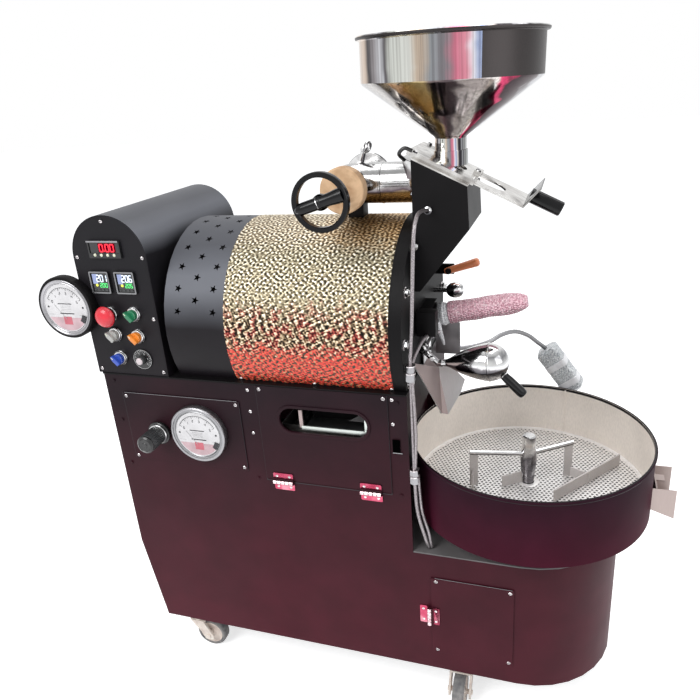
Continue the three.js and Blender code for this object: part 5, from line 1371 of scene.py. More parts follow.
# Instruments
SCALE_FROM = 152
SCALE_TO = 28
SCALE_TICKS = 20


def gauge_face(name, x, face_y, z, radius, rings):
    """Bezel rings, dial, printed scale, plain bars, pointer and stop of a round draught gauge."""
    pieces = [
        turned(name + "_ring", profile, (x, face_y, z), FRONT, material, "machine", 96)
        for profile, material in rings
    ]
    plane = face_y + 2.4
    pieces.append(turned(name + "_dial", [(0, 0), (radius, 0)], (x, plane, z), FRONT, DIAL, "machine", 72))
    black = []
    grey = []
    for i in range(SCALE_TICKS + 1):
        degrees = SCALE_FROM + (SCALE_TO - SCALE_FROM) * i / SCALE_TICKS
        major = i % 4 == 0
        black.append(
            tick(x, z - 3, degrees, radius * (0.8 if major else 0.85), radius * 0.9, 0.9 if major else 0.45)
        )
    for i in range(6):
        degrees = math.radians(SCALE_FROM + (SCALE_TO - SCALE_FROM) * i / 5)
        u = x + math.cos(degrees) * radius * 0.68
        v = z - 3 + math.sin(degrees) * radius * 0.68
        black += digit(str(i), u - 1.3, v - 2.4, 2.6, 4.8, 0.7)
    arc = [circle(x, z - 3, r, 40, SCALE_TO, SCALE_FROM) for r in (radius * 0.9, radius * 0.915)]
    black.append(arc[0] + arc[1][::-1])
    black.append(box_outline(x - 17, x + 15, z + 7.4, z + 9.0))
    black.append(box_outline(x - 16, x + 17, z - 12.6, z - 10.6))
    for row in (3.4, 0.2, -3.0, -6.2):
        grey.append(box_outline(x - 12, x + 11, z + row - 0.35, z + row + 0.35))
    for side in (-1, 1):
        black.append(circle(x + side * radius * 0.84, z + 1.5, 2.0, 12))
        grey.append(bar((x + side * radius * 0.9, z - 14), (x + side * radius * 0.6, z - 14), 0.6))
    pieces.append(marks(name + "_print", black, plane, INK_AND_SHADE))
    pieces.append(marks(name + "_lines", grey, plane, GREY_LABEL))
    pieces.append(
        marks(
            name + "_blush", [circle(x, z, radius * 0.97, 16, 205, 335)], plane, DIAL_BLUSH, "machine", 0.1,
        )
    )
    pieces.append(marks(name + "_patch", [box_outline(x - 10, x + 9, z - 34, z - 18)], plane, PATCH))
    stop = circle(x, z, radius * 0.99, 8, -40, -20) + circle(x, z, radius * 0.8, 8, -40, -20)[::-1]
    pieces.append(marks(name + "_stop", [stop], plane, INK_AND_SHADE, "machine", 1.6))
    pieces.append(
        marks(name + "_pointer", [tick(x, z - 26, 128, 4, radius * 0.86, 0.6)], plane - 0.9, GREY_LABEL)
    )
    return joined(name, pieces)


def gauges():
    painted("draft_gauge", BEZEL)
    rings = [
        ([(60.3, -13.5), (60.5, -3.0), (59.2, -0.6), (57.0, 0.6), (55.2, 0.3), (54.4, -1.0)], BEZEL_PALE),
        ([(54.4, -1.0), (52.2, -2.2), (50.6, -2.4), (49.4, -1.6), (48.6, -2.2), (47.6, -3.2)], BEZEL),
    ]
    gauge_face("draft_gauge_face", 204.6, -16.5, 604.5, 48, rings)
    painted("side_gauge", BOX)
    rings = [
        ([(62.2, -18.0), (62.4, -3.0), (61.0, -0.4), (57.8, 0.4), (57.0, -0.6)], CAST),
        (
            [
                (57.0, -0.6), (55.6, 0.6), (54.2, 0.4), (52.8, -0.8), (51.2, -1.2), (49.9, -0.6),
                (48.8, -1.4), (47.6, -3.2),
            ],
            BEZEL_PALE,
        ),
    ]
    gauge_face("side_gauge_face", -39, -20, 860, 48, rings)


TIMER = (67, 972, 70, 32)
CONTROLLERS = ((43, "temp_controller_left", "201", "200"), (99, "temp_controller_right", "206", "205"))
CONTROLLER_Z = 909
CONTROLLER_HALF = 21


def timer():
    x, z, width, height = TIMER
    painted("timer_display", BLACK)
    left = x - width / 2
    low = z - height / 2
    glass = marks(
        "timer_glass", [box_outline(left + 3.2, left + width - 3.2, low + 9.4, low + height - 3.2)], -2.9,
        GLASS_DARK,
    )
    figures = number("0", left + 25, low + 12.4, 7.2, 13.2, 2.0)
    figures += number("00", left + 38, low + 12.4, 7.2, 13.2, 2.0)
    figures.append(box_outline(left + 34.2, left + 36.0, low + 12.2, low + 14.4))
    shown = marks("timer_figures", figures, -3.3, GLOW_RED)
    halo = marks(
        "timer_halo", [box_outline(left + 22, left + 60, low + 10.4, low + 27.8)], -3.1, GLOW_DIM,
        depth=0.1,
    )
    strip = cuboid(
        "timer_strip", left - 0.5, left + width - 1.5, -6.0, -4.6, low + height - 2.0, low + height + 0.9,
        BEZEL_PALE, "machine", 0.3,
    )
    keys = []
    for i in range(4):
        at = (left + width * (i + 1) / 5, -5.4, low + 6)
        keys.append(
            turned(
                "timer_key", [(0, 1.5), (1.9, 1.4), (2.9, 0.6), (3.1, -0.8)], at, FRONT, KEY_PALE,
                "machine", 20,
            )
        )
    joined("timer_front", [glass, halo, shown, strip] + keys)


def controllers():
    for x, node, upper, lower in CONTROLLERS:
        painted(node, BLACK)
        z = CONTROLLER_Z
        h = CONTROLLER_HALF
        outline = rounded(x - h - 0.3, x + h + 0.3, z - h - 0.3, z + h + 0.3, 2.5)
        inner = rounded(x - h + 2.3, x + h - 2.3, z - h + 2.3, z + h - 2.3, 1.6)
        rim = frame_ring(node + "_rim", outline, inner, -4.4, -5.7, BEZEL)
        screen = marks(
            node + "_screen", [box_outline(x - h + 3.2, x + h - 3.2, z - h + 3.2, z + h - 3.2)], -2.8,
            GLASS_DARK,
        )
        haze = marks(
            node + "_haze", [box_outline(x - h + 4.5, x - h + 15, z - 3, z + h - 5)], -3.1, GLOW_HAZE,
            depth=0.1,
        )
        white = marks(
            node + "_upper", number(upper, x - h + 14, z + 1.5, 5.6, 12.4, 1.9, 0.42), -3.2, GLOW_WHITE,
        )
        green = marks(
            node + "_lower", number(lower, x - h + 19.5, z - 9.5, 4.0, 7.6, 1.4, 0.45), -3.2, GLOW_GREEN,
        )
        lamp = marks(node + "_lamp", [circle(x - h + 12.5, z - 5.6, 2.7, 20)], -3.2, GLOW_YELLOW)
        keys = marks(
            node + "_keys",
            [
                box_outline(u, u + 4.4, z - h + 4.6, z - h + 7.4)
                for u in (x - h + 5, x - h + 13.8, x - h + 22.6, x - h + 31.4)
            ],
            -2.9, GREY_DARK, depth=1.4,
        )
        joined(node + "_front", [rim, screen, haze, white, green, lamp, keys])


def frame_ring(name, outline, inner, back, front, material, body="machine"):
    """A flat frame between two outlines with as many points."""
    count = len(outline)
    loops = [(outline, back), (outline, front), (inner, front), (inner, back)]
    points = [(u, y, v) for loop, y in loops for u, v in loop]
    faces = []
    for a in range(4):
        b = (a + 1) % 4
        for i in range(count):
            k = (i + 1) % count
            faces.append((a * count + i, a * count + k, b * count + k, b * count + i))
    return link_mesh(name, points, faces, material, body)


ESTOP = (49, 845)
SELECTORS = (
    (102, 847, "selector_green"), (51, 804, "selector_grey"), (102, 802, "selector_orange"),
    (52, 755, "selector_blue"),
)
SELECTOR_TURN = math.radians(42)
SPEED = (102, 754)
COLLAR = [(9.0, 6.9), (11.6, 7.0), (13.2, 6.2), (13.8, 4.6), (14.8, 3.8), (15.2, 2.6), (15.2, -0.2)]


def buttons():
    x, z = ESTOP
    profile = [
        (0, 30.4), (5, 30.2), (11, 29.0), (16.4, 26.4), (19.6, 22.6), (20.8, 19.0), (19.8, 16.6),
        (15.0, 15.4), (8.6, 15.0), (8.0, 13.0),
    ]
    stop = turned("estop_mushroom", profile, (x, 0, z), FRONT, RED, "estop_button", 56)
    arrows = []
    for i in range(3):
        a = 20 + i * 120
        arc = circle(x, z, 11.0, 8, a, a + 62) + circle(x, z, 9.3, 8, a, a + 62)[::-1]
        arrows.append(marks("arrow", [arc], -28.4, RED_PALE, "estop_button", 0.5))
    stand_in(joined("estop_mushroom", [stop] + arrows), "estop_button")
    turned("estop_collar", COLLAR, (x, 0, z), FRONT, CHROME, "machine", 40)
    turned(
        "estop_sleeve", [(9.4, 6.6), (9.4, 8.0), (10.6, 8.2), (11.4, 6.6)], (x, 0, z), FRONT, GREEN_DARK,
        "machine", 32,
    )
    for (x, z, name), material in zip(SELECTORS, (GREEN, GREY, ORANGE, BLUE)):
        turned(name + "_collar", COLLAR, (x, 0, z), FRONT, CHROME, "machine", 40)
        base = turned(
            name + "_cap", [(0, 16.0), (9.8, 15.6), (11.0, 14.0), (11.0, 8.0), (8.6, 7.2)], (x, 0, z),
            FRONT, material, name, 40,
        )
        top = Vector((-math.sin(SELECTOR_TURN), math.cos(SELECTOR_TURN)))
        side = Vector((top.y, -top.x))
        centre = Vector((x, z))
        shape = [(-4.2, -10.6), (4.2, -10.6), (4.6, 4.0), (2.8, 9.6), (0, 12.6), (-2.8, 9.6), (-4.6, 4.0)]
        outline = [tuple(centre + side * u + top * v) for u, v in shape]
        grip = slab(name + "_grip", outline, -23.0, -11.0, "y", material, name, 1.4)
        tip = marks(
            name + "_tip", [bar(centre + top * 5.0, centre + top * 10.5, 1.5)], -22.9, KEY_PALE, name, 0.35,
        )
        knob = joined(name + "_knob", [base, grip, tip])
        stand_in(knob, name)
    x, z = SPEED
    plate = turned(
        "speed_plate", [(0, 2.6), (20.4, 2.5), (20.8, 2.0), (20.8, 0)], (x, 0, z), FRONT, BLACK, "machine",
        56,
    )
    lines = [tick(x, z, 225 - 270 * i / 20, 15.6, 18.6 if i % 2 == 0 else 17.4, 0.55) for i in range(21)]
    lines += [circle(x, z, 19.9, 56) + circle(x, z, 19.4, 56)[::-1]]
    for i in range(0, 11, 2):
        a = math.radians(225 - 270 * i / 10)
        figure = str(i) if i < 10 else "10"
        lines += number(
            figure, x + math.cos(a) * 12.8 - 0.9 * len(figure), z + math.sin(a) * 12.8 - 1.5, 1.5, 3.0,
            0.45,
        )
    ticks = marks("speed_ticks", lines, -2.6, LABEL_WHITE)
    joined("speed_scale", [plate, ticks])
    body = ribbed("speed_knob_body", 8.2, 9.0, 18, 2.7, 13.6, (x, 0, z), FRONT, GREY_DARK, "speed_knob")
    cap = turned(
        "speed_cap", [(0, 16.0), (5.0, 15.8), (6.6, 14.8), (7.2, 13.2)], (x, 0, z), FRONT, KNOB_PALE,
        "speed_knob", 32,
    )
    stand_in(joined("speed_knob_ribbed", [body, cap]), "speed_knob")


def ribbed(name, low_r, high_r, ribs, start, end, origin, direction, material, body, chamfer=0.8):
    """A cylinder with soft ribs along it, closed at both ends."""
    along, side, other = basis(direction)
    centre = Vector(origin)
    count = ribs * 6
    points = []
    stations = [(start, 0.94), (start + chamfer, 1.0), (end - chamfer, 1.0), (end, 0.9)]
    for height, scale in stations:
        for k in range(count):
            a = 2 * math.pi * k / count
            r = (low_r + (high_r - low_r) * (0.5 + 0.5 * math.cos(a * ribs))) * scale
            points.append(tuple(centre + along * height + (math.cos(a) * side + math.sin(a) * other) * r))
    return link_mesh(name, points, tube_faces(len(stations), count), material, body, 60)


REGULATOR = (112, 596)


def regulator():
    x, z = REGULATOR
    at = (x, -0.3, z)
    reach = 14.0
    painted("gas_regulator", CAST)
    pieces = [
        turned(
            "collar",
            [(9.6, 0), (9.6, 6.4), (23.0, 6.6), (24.2, 7.8), (24.2, 11.4), (23.0, 12.6), (18.2, 12.8)], at,
            FRONT, BLACK, "regulator_knob", 48,
        ),
        turned(
            "band", [(19.6, 12.7), (20.6, 13.4), (20.6, 15.6), (19.6, 16.4), (18.0, 16.6)], at, FRONT,
            CHROME, "regulator_knob", 48,
        ),
        ribbed("grip", 17.6, 18.8, 26, 16.5, 41.0 + reach, at, FRONT, GREY_DARK, "regulator_knob"),
        turned(
            "nose",
            [
                (r, h + reach)
                for r, h in (
                    (17.4, 40.4), (18.2, 41.4), (18.2, 44.6), (16.6, 46.8), (13.4, 48.2), (12.2, 47.2),
                    (6.0, 47.0), (5.0, 48.0), (0, 48.2),
                )
            ],
            at, FRONT, BLACK, "regulator_knob", 48,
        ),
    ]
    stand_in(joined("regulator_knob_ribbed", pieces), "regulator_knob")
    turned(
        "regulator_washer", [(21.5, 0.2), (21.5, 1.4), (12.0, 1.5)], (x, -2.3, z), FRONT, BLACK, "machine",
        40,
    )


def instruments():
    gauges()
    timer()
    controllers()
    buttons()
    regulator()
    places = [
        (69.5, -0.5, 1024), (0, -0.5, 956), (143, -0.5, 956), (143, -0.5, 837.5), (0, -0.5, 728),
        (143, -0.5, 728),
    ]
    screws("control_screws", places, FRONT, "machine", 3.6)


# Cabinet details
def hinge(name, centre, along, up, fixed, moving):
    """Two leaves and five knuckles round a pin; the moving leaf lies on the up side."""
    half = HINGE_LENGTH / 2
    pin = Vector(centre)
    along = Vector(along)
    up = Vector(up)
    out = Vector(FRONT)

    def leaf(body, sign, lift):
        corners = []
        for u, v in rounded(-half, half, 4.6, 19.5, 2.5, 4):
            corners.append(tuple(pin + along * u + up * v * sign - out * (6.5 - lift)))
        plate = plate_between("leaf", corners, out * 1.8, HINGE, body, 0.3)
        heads = []
        for u in (-13, 13):
            at = pin + along * u + up * 12.5 * sign - out * (4.7 - lift)
            heads.append(
                turned("head", [(0, 0.7), (1.4, 0.9), (2.7, 0.3), (2.9, -0.2)], at, out, SCREW, body, 16)
            )
        web = [
            tuple(pin + along * u + up * v * sign - out * (4.6 - lift))
            for u, v in ((-half, 0.5), (half, 0.5), (half, 5.2), (-half, 5.2))
        ]
        return [plate, plate_between("web", web, out * 2.6, HINGE, body, 0.2)] + heads

    step = HINGE_LENGTH / 5
    parts = {fixed: leaf(fixed, -1, 0.0), moving: leaf(moving, 1, 3.0)}
    for i in range(5):
        body = fixed if i % 2 == 0 else moving
        start = pin + along * (-half + i * step + 0.25)
        ring = [(0, 0), (3.6, 0), (4.5, 0.7), (4.5, step - 1.2), (3.6, step - 0.5), (0, step - 0.5)]
        parts[body].append(turned("knuckle", ring, start, along, HINGE_PIN, body, 24))
    joined(name + "_fixed", parts[fixed])
    joined(name + "_moving", parts[moving])


def cabinet_details():
    for i, x in enumerate(DOOR_HINGES):
        hinge("door_hinge_%d" % i, (x, -6.5, DOOR[2]), RIGHT, UP, "machine", "access_door")
    hinge("lower_hinge", (LOWER_DOOR[0], -6.5, LOWER_HINGE_Z), UP, RIGHT, "machine", "lower_door")
    x0, x1, z, half = SLOT
    left, right, low, high = x0 + 36, x1 - 2, z - 19, z + 18
    tray = [
        cuboid("window_left", left, left + 7, 5, 9, low, high, SPOUT_WARM, "machine", 0.5),
        cuboid("window_low", left + 4, right - 2, 4, 8, low - 4, low + 5, WINDOW_PALE, "machine", 0.6),
        cuboid("window_right", right - 6, right, 5, 9, low, high, WINDOW_PALE, "machine", 0.5),
        cuboid("window_step", left + 6, right - 6, 12, 60, low - 5, low - 3, DARK_STEEL, "machine", 0.3),
        cuboid("window_back", left + 7, right - 6, 58, 60, low - 3, high + 14, CAST, "machine", 0.3),
        plate_between(
            "window_brace",
            [(right - 48, 40, low + 4), (right - 6, 40, low + 4), (right - 6, 40, low + 30)], (0, 1.5, 0),
            SHELF, "machine", 0.2,
        ),
    ]
    joined("burner_window_frame", tray)
    rim_out = circle(x0 + half, z, half + 6, 20, 90, 270)
    rim_out += circle(x1 - half, z, half + 6, 20, -90, 90)
    rim_in = circle(x0 + half, z, half + 0.4, 20, 90, 270)
    rim_in += circle(x1 - half, z, half + 0.4, 20, -90, 90)
    bevelled(frame_ring("slot_rim", rim_out, rim_in, -2.6, -5.0, CABINET, "access_door"), 0.7)


# Drum face plate and guard fittings
FACE_X = 625
FACE_BOLTS = (-28, 0, 30, 60, 120, 150, 180, 208)


def face_details():
    for i, degrees in enumerate(FACE_BOLTS):
        at = arc_point(FACE_X - 0.5, COVER_R - 14, degrees)
        washer = turned("washer", [(9.6, 0), (9.6, 1.6), (6, 1.8)], at, RIGHT, SCREW, "machine", 28)
        nut = turned(
            "nut", [(0, 11.5), (3.4, 11.2), (5.6, 9.6), (6.4, 7.4), (7.6, 6.6), (7.6, 1.4)], at, RIGHT,
            CHROME, "machine", 6 if i % 2 else 28,
        )
        joined("face_bolt_%d" % i, [washer, nut])
    guide = turned(
        "sampler_guide_ring", [(19.4, 0), (19.4, 24), (17.6, 26), (10.4, 26.2), (9.6, 25.6)],
        (FACE_X, 171, 809), RIGHT, BLACK, "machine", 48,
    )
    collar = turned(
        "guide_collar", [(21.4, 0), (21.4, 4.6), (19.2, 5.4)], (645, 171, 809), RIGHT, CAST, "machine", 48,
    )
    joined("sampler_guide", [guide, collar])
    turned(
        "guard_knob", [(0, 13), (4, 12.6), (6.4, 10.6), (6.8, 8), (5, 6), (3, 5), (3, -1)],
        (213, 22.4, 741), (0, -1, -0.3), BLACK, "machine", 28,
    )
    pins = [arc_point(x, COVER_R - 0.4, -29.0 + 0.4) for x in (304, 453, 598)]
    screws("cover_screws", [(x, y - 1.2, z - 0.6) for x, y, z in pins], (0, -1, -0.3), "machine", 3.6)


# Gate
SLOPE = math.atan2(1101 - 1055, 718 - 625)
DOWNHILL = Vector((math.cos(SLOPE), 0, -math.sin(SLOPE)))
LIFTED = Vector((math.sin(SLOPE), 0, math.cos(SLOPE)))
GATE_END = 140
GATE_HANDLE_LIFT = 17.4


def slope_point(along, y, lift):
    start = Vector((NECK_X, y, 1101 - (NECK_X - FACE_X) * math.tan(SLOPE)))
    return start + DOWNHILL * along + LIFTED * lift


def gate_details():
    plate = weighted(dressed("hopper_gate", PLATE_STEEL, 0.5))
    for vertex in plate.data.vertices:
        point = drawn(vertex.co)
        past = (point - slope_point(0, point.y, 0)).dot(DOWNHILL)
        lift = (point - slope_point(0, point.y, 0)).dot(LIFTED)
        lean = max(0.0, lift - 8) * 0.34 if GATE_END - 8 < past < GATE_END + 0.6 else 0.0
        vertex.co += DOWNHILL * lean * MM
    recolour(plate, BLACK_GLOSS, lambda p, n: (p - slope_point(GATE_END + 0.6, p.y, 0)).dot(DOWNHILL) > 0)
    grip = [(8.0, 0), (12.2, 0.4), (12.5, 1.6), (12.5, 56.8), (11.2, 58.6), (4.0, 58.9), (0, 58.9)]
    turned(
        "gate_grip", grip, slope_point(GATE_END + 0.3, MIDDLE_Y, GATE_HANDLE_LIFT), DOWNHILL, BLACK_GLOSS,
        "hopper_gate", 48,
    )
    rails = weighted(dressed("gate_housing", PLATE_STEEL, 0.5))
    recolour(rails, HOPPER, lambda p, n: math.hypot(p.x - NECK_X, p.y - MIDDLE_Y) < 42 and abs(n.z) < 0.3)
    turned(
        "gate_screw", [(0, 15), (3, 14.6), (4.6, 12.8), (4.8, 9.5), (3, 9.0), (3, 3)],
        slope_point(44, MIDDLE_Y, 6), LIFTED, CHROME, "machine", 28,
    )
    heads = [slope_point(a, y, 10.6) for a in (-60, -12) for y in (114, 236)]
    for i, at in enumerate(heads):
        hex_bolt(at, LIFTED, 4.6, 4.0, "machine", CHROME).name = "housing_bolt_%d" % i


# Exhaust duct and damper
DUCT_X = 505
DUCT_Z = 1054
DUCT_AT = (DUCT_X, MIDDLE_Y, DUCT_Z)
WING_TILT = 0.3


def exhaust_details():
    stand_in(
        turned(
            "duct_pipe",
            [
                (0, -41.4), (10, -40.6), (20, -37.6), (28, -31), (33.6, -20), (35.8, -8), (36, 0), (36, 50),
                (36.9, 51), (36.9, 53), (36, 54), (36, 104), (38, 110), (40, 113), (45.4, 113.6),
                (46.2, 114.6), (46.2, 118.6), (45.4, 119.7), (33, 119.7), (33, 0), (30, -20), (12, -36),
                (0, -37),
            ],
            DUCT_AT, RIGHT, POLISHED, "machine", 72,
        ),
        "exhaust_duct",
    )
    stand_in(
        turned(
            "duct_port", [(30, 0), (30, 56), (33.4, 57), (34, 58.4), (34, 62.6), (6.6, 63)], DUCT_AT, FRONT,
            POLISHED, "machine", 56,
        ),
        "exhaust_duct",
    )
    stand_in(
        turned(
            "duct_rear", [(30, 0), (30, 76), (45, 77), (46, 78), (46, 82), (45, 83), (27, 83), (27, 0)],
            DUCT_AT, REAR, POLISHED, "machine", 56,
        ),
        "exhaust_duct",
    )
    bolts = []
    for i in range(8):
        a = math.radians(22.5 + i * 45)
        at = (DUCT_X + 113.8, MIDDLE_Y - 41.4 * math.cos(a), DUCT_Z + 41.4 * math.sin(a))
        bolts.append(hex_bolt(at, (-1, 0, 0), 4.4, 4.0, "machine", CHROME))
    joined("duct_bolts", bolts)
    stand_in(
        cuboid(
            "duct_saddle", DUCT_X - 15, DUCT_X + 15, MIDDLE_Y - 15, MIDDLE_Y + 15, DRUM_Z + COVER_R + 0.2,
            DUCT_Z - 34, CAST, "machine", 1.0,
        ),
        "exhaust_duct",
    )
    lean = Vector((math.sin(WING_TILT), 0, math.cos(WING_TILT)))
    root = Vector(DUCT_AT) + lean * 24
    stem = turned(
        "stem",
        [
            (10.5, 0), (10.5, 6), (9.4, 7), (9.6, 7.4), (9.6, 14), (8.2, 15.4), (5.2, 15.6), (5.2, 34),
            (6.4, 35), (6.4, 40), (4, 42), (0, 42.4),
        ],
        root, lean, CHROME, "machine", 28,
    )
    crown = root + lean * 41
    wings = []
    for sign in (-1, 1):
        loop = [
            crown + lean * (math.sin(t) * 8.5) + Vector((0.5, 0.87 * sign, 0)) * (7.5 - math.cos(t) * 7.0)
            for t in (2 * math.pi * k / 20 for k in range(21))
        ]
        wings.append(swept("wing", loop, 2.6, CHROME, "machine", 12))
    stand_in(joined("duct_wing_bolt", [stem] + wings), "exhaust_duct")
    sheet = [(603, 128, 1100), (603, 222, 1100), (626, 222, 1092), (626, 128, 1092)]
    top = plate_between("strap_top", sheet, (0, 0, 2.2), POLISHED, "machine", 0.4)
    ear = plate_between(
        "strap_ear", [(603, 128, 1100), (626, 128, 1092), (623, 128, 1066), (612, 128, 1066)], (0, -2.2, 0),
        POLISHED, "machine", 0.4,
    )
    hook = swept(
        "strap_hook",
        smooth_path([(608, 126, 1098), (604, 108, 1110), (614, 106, 1119), (627, 108, 1114)], 6), 3.2,
        BLACK, "machine", 12,
    )
    joined("duct_strap", [top, ear, hook])


def disc_details():
    near = turned(
        "near", [(6.4, 24), (37.8, 24), (39.6, 22.8), (40, 21.4), (40, 12.6), (39.2, 12.1), (6.4, 12)],
        (DUCT_X, 111.7, DUCT_Z), FRONT, DISC_WOOD, "machine", 72,
    )
    far = turned(
        "far", [(6.4, 11.8), (39.2, 11.8), (40, 11.2), (40, 1.4), (39.2, 0.3), (6.4, 0.2)],
        (DUCT_X, 111.7, DUCT_Z), FRONT, DISC_WOOD, "machine", 72,
    )
    stand_in(joined("disc_layers", [near, far]), "insulating_disc")


WHEEL = (DUCT_X, -15, DUCT_Z)
SPOKE_DEGREES = 17.5


def wheel_details():
    rim = turned(
        "rim",
        [
            (39.2, -5.2), (40.6, -6.8), (46.4, -7), (47.8, -5.6), (48, -3.2), (48, 3.2), (47.8, 5.6),
            (46.4, 7), (40.6, 6.8), (39.2, 5.2), (39, 0), (39.2, -5.2),
        ],
        WHEEL, FRONT, BLACK_GLOSS, "damper", 96,
    )
    a = math.radians(SPOKE_DEGREES)
    along = Vector((math.cos(a), 0, math.sin(a)))
    start = Vector(WHEEL) - along * 43
    spoke = turned(
        "spoke",
        [
            (7.6, 0), (9.4, 3), (10.2, 12), (10.2, 40), (11.2, 41), (11.2, 44), (10.4, 45), (10.4, 60),
            (11.8, 72), (12.2, 84),
        ],
        start, along, BLACK_GLOSS, "damper", 40,
    )
    band = turned(
        "band", [(10.5, 0), (10.9, 0.4), (10.9, 1.4), (10.5, 1.8)], start + along * 38, along, CHROME,
        "damper", 40,
    )
    screw = turned(
        "screw", [(0, 1.0), (2.6, 0.8), (4.4, 2.2), (5.2, 1.2), (5.4, -3)], start + Vector((3, -6.2, 1)),
        FRONT, DARK_STEEL, "damper", 28,
    )
    shaft = turned("shaft", [(6, 0), (6, 204)], WHEEL, REAR, DARK_STEEL, "damper", 28)
    hub = turned(
        "hub", [(13, -3), (13.4, 3), (12, 10), (8, 14), (6, 14.4)], WHEEL, REAR, BLACK_GLOSS, "damper", 40,
    )
    flap = turned(
        "flap", [(0, 1.5), (22.4, 1.5), (23, 0.8), (23, -0.8), (22.4, -1.5), (0, -1.5)], DUCT_AT, UP,
        DARK_STEEL, "damper", 40,
    )
    stand_in(joined("damper_handwheel", [rim, spoke, band, screw, shaft, hub, flap]), "damper_wheel")


# Discharge side
TILT = 0.19
UPHILL = (math.cos(TILT), 0, math.sin(TILT))
SAMPLER = (655, 171, 809)


def bubbled(name, radius_at, start, end, origin, direction, pitch, lift, material, body, squareness=0.0):
    """A round or squarish wrap whose skin stands in rows of small bubbles; closed at both ends."""
    along, side, other = basis(direction)
    centre = Vector(origin)
    step = pitch / 6
    count = max(24, round(2 * math.pi * radius_at(0.4) / step))
    rows = max(8, round((end - start) / step))
    per_round = max(6, round(2 * math.pi * radius_at(0.4) / pitch))
    points = []
    for j in range(rows + 1):
        share = j / rows
        height = start + (end - start) * share
        row = height / (pitch * 0.87)
        for k in range(count):
            a = 2 * math.pi * k / count
            base = radius_at(share)
            if squareness:
                c, s = abs(math.cos(a)), abs(math.sin(a))
                base *= 1 / (c ** 6 + s ** 6) ** (1 / 6) * squareness + (1 - squareness)
            turn = a / (2 * math.pi) * per_round
            near = 9.0
            for offset in (0, 1):
                r = math.floor(row) + offset
                shift = 0.5 * (r % 2)
                across = (turn - shift) - round(turn - shift)
                near = min(near, math.hypot(across, (row - r) * 0.87))
            bump = max(0.0, 1 - (near / 0.47) ** 2) ** 0.5 * lift
            wave = noise.noise(Vector((height * 0.035, math.cos(a) * 1.3, math.sin(a) * 1.3))) * lift * 1.4
            r = max(0.5, base + bump + wave)
            points.append(tuple(centre + along * height + (math.cos(a) * side + math.sin(a) * other) * r))
    return link_mesh(name, points, tube_faces(rows + 1, count), material, body, 70)


def sampler_details():
    def grip(share):
        if share < 0.04:
            return 15 + share / 0.04 * 5.0
        if share < 0.74:
            return 20.0 - share * 2.0
        return max(5.0, 18.5 * math.sqrt(max(0.0, 1 - ((share - 0.74) / 0.29) ** 2)))

    wrap = bubbled("sampler_wrap", grip, 14, 163, SAMPLER, UPHILL, 5.6, 1.2, PINK, "sampler")
    # Faces that look down and to the front get the darker copy: painted shade under the grip.
    recolour(wrap, PINK_PAINTED_SHADE, lambda p, n: -0.72 < n.z < -0.1 and n.y < 0)
    collar = bubbled(
        "sampler_collar", lambda s: 21.5 - abs(s - 0.4) * 9, -1, 20, SAMPLER, UPHILL, 5.0, 1.2, CLEAR,
        "sampler",
    )
    drip = swept(
        "sampler_drip",
        smooth_path([(652, 158, 798), (656, 156, 782), (661, 156, 766), (664, 158, 752)], 6), 5.2, CLEAR,
        "sampler", 12, lambda s: 1.3 - s * 0.9,
    )
    rod = turned(
        "sampler_tube", [(0, -107.5), (8.6, -107), (9, -106), (9, 16)], SAMPLER, UPHILL, STEEL, "sampler",
        36,
    )
    stand_in(wrap, "sampler")
    stand_in(joined("sampler_inner", [collar, drip, rod]), "sampler")


LEVER_ROOT = (660, 120, 730)
BALL_AT = (754, 120, 738)
BALL_R = 35
HANDLE_TILT = 0.78
DOOR_HINGE_Z = 758


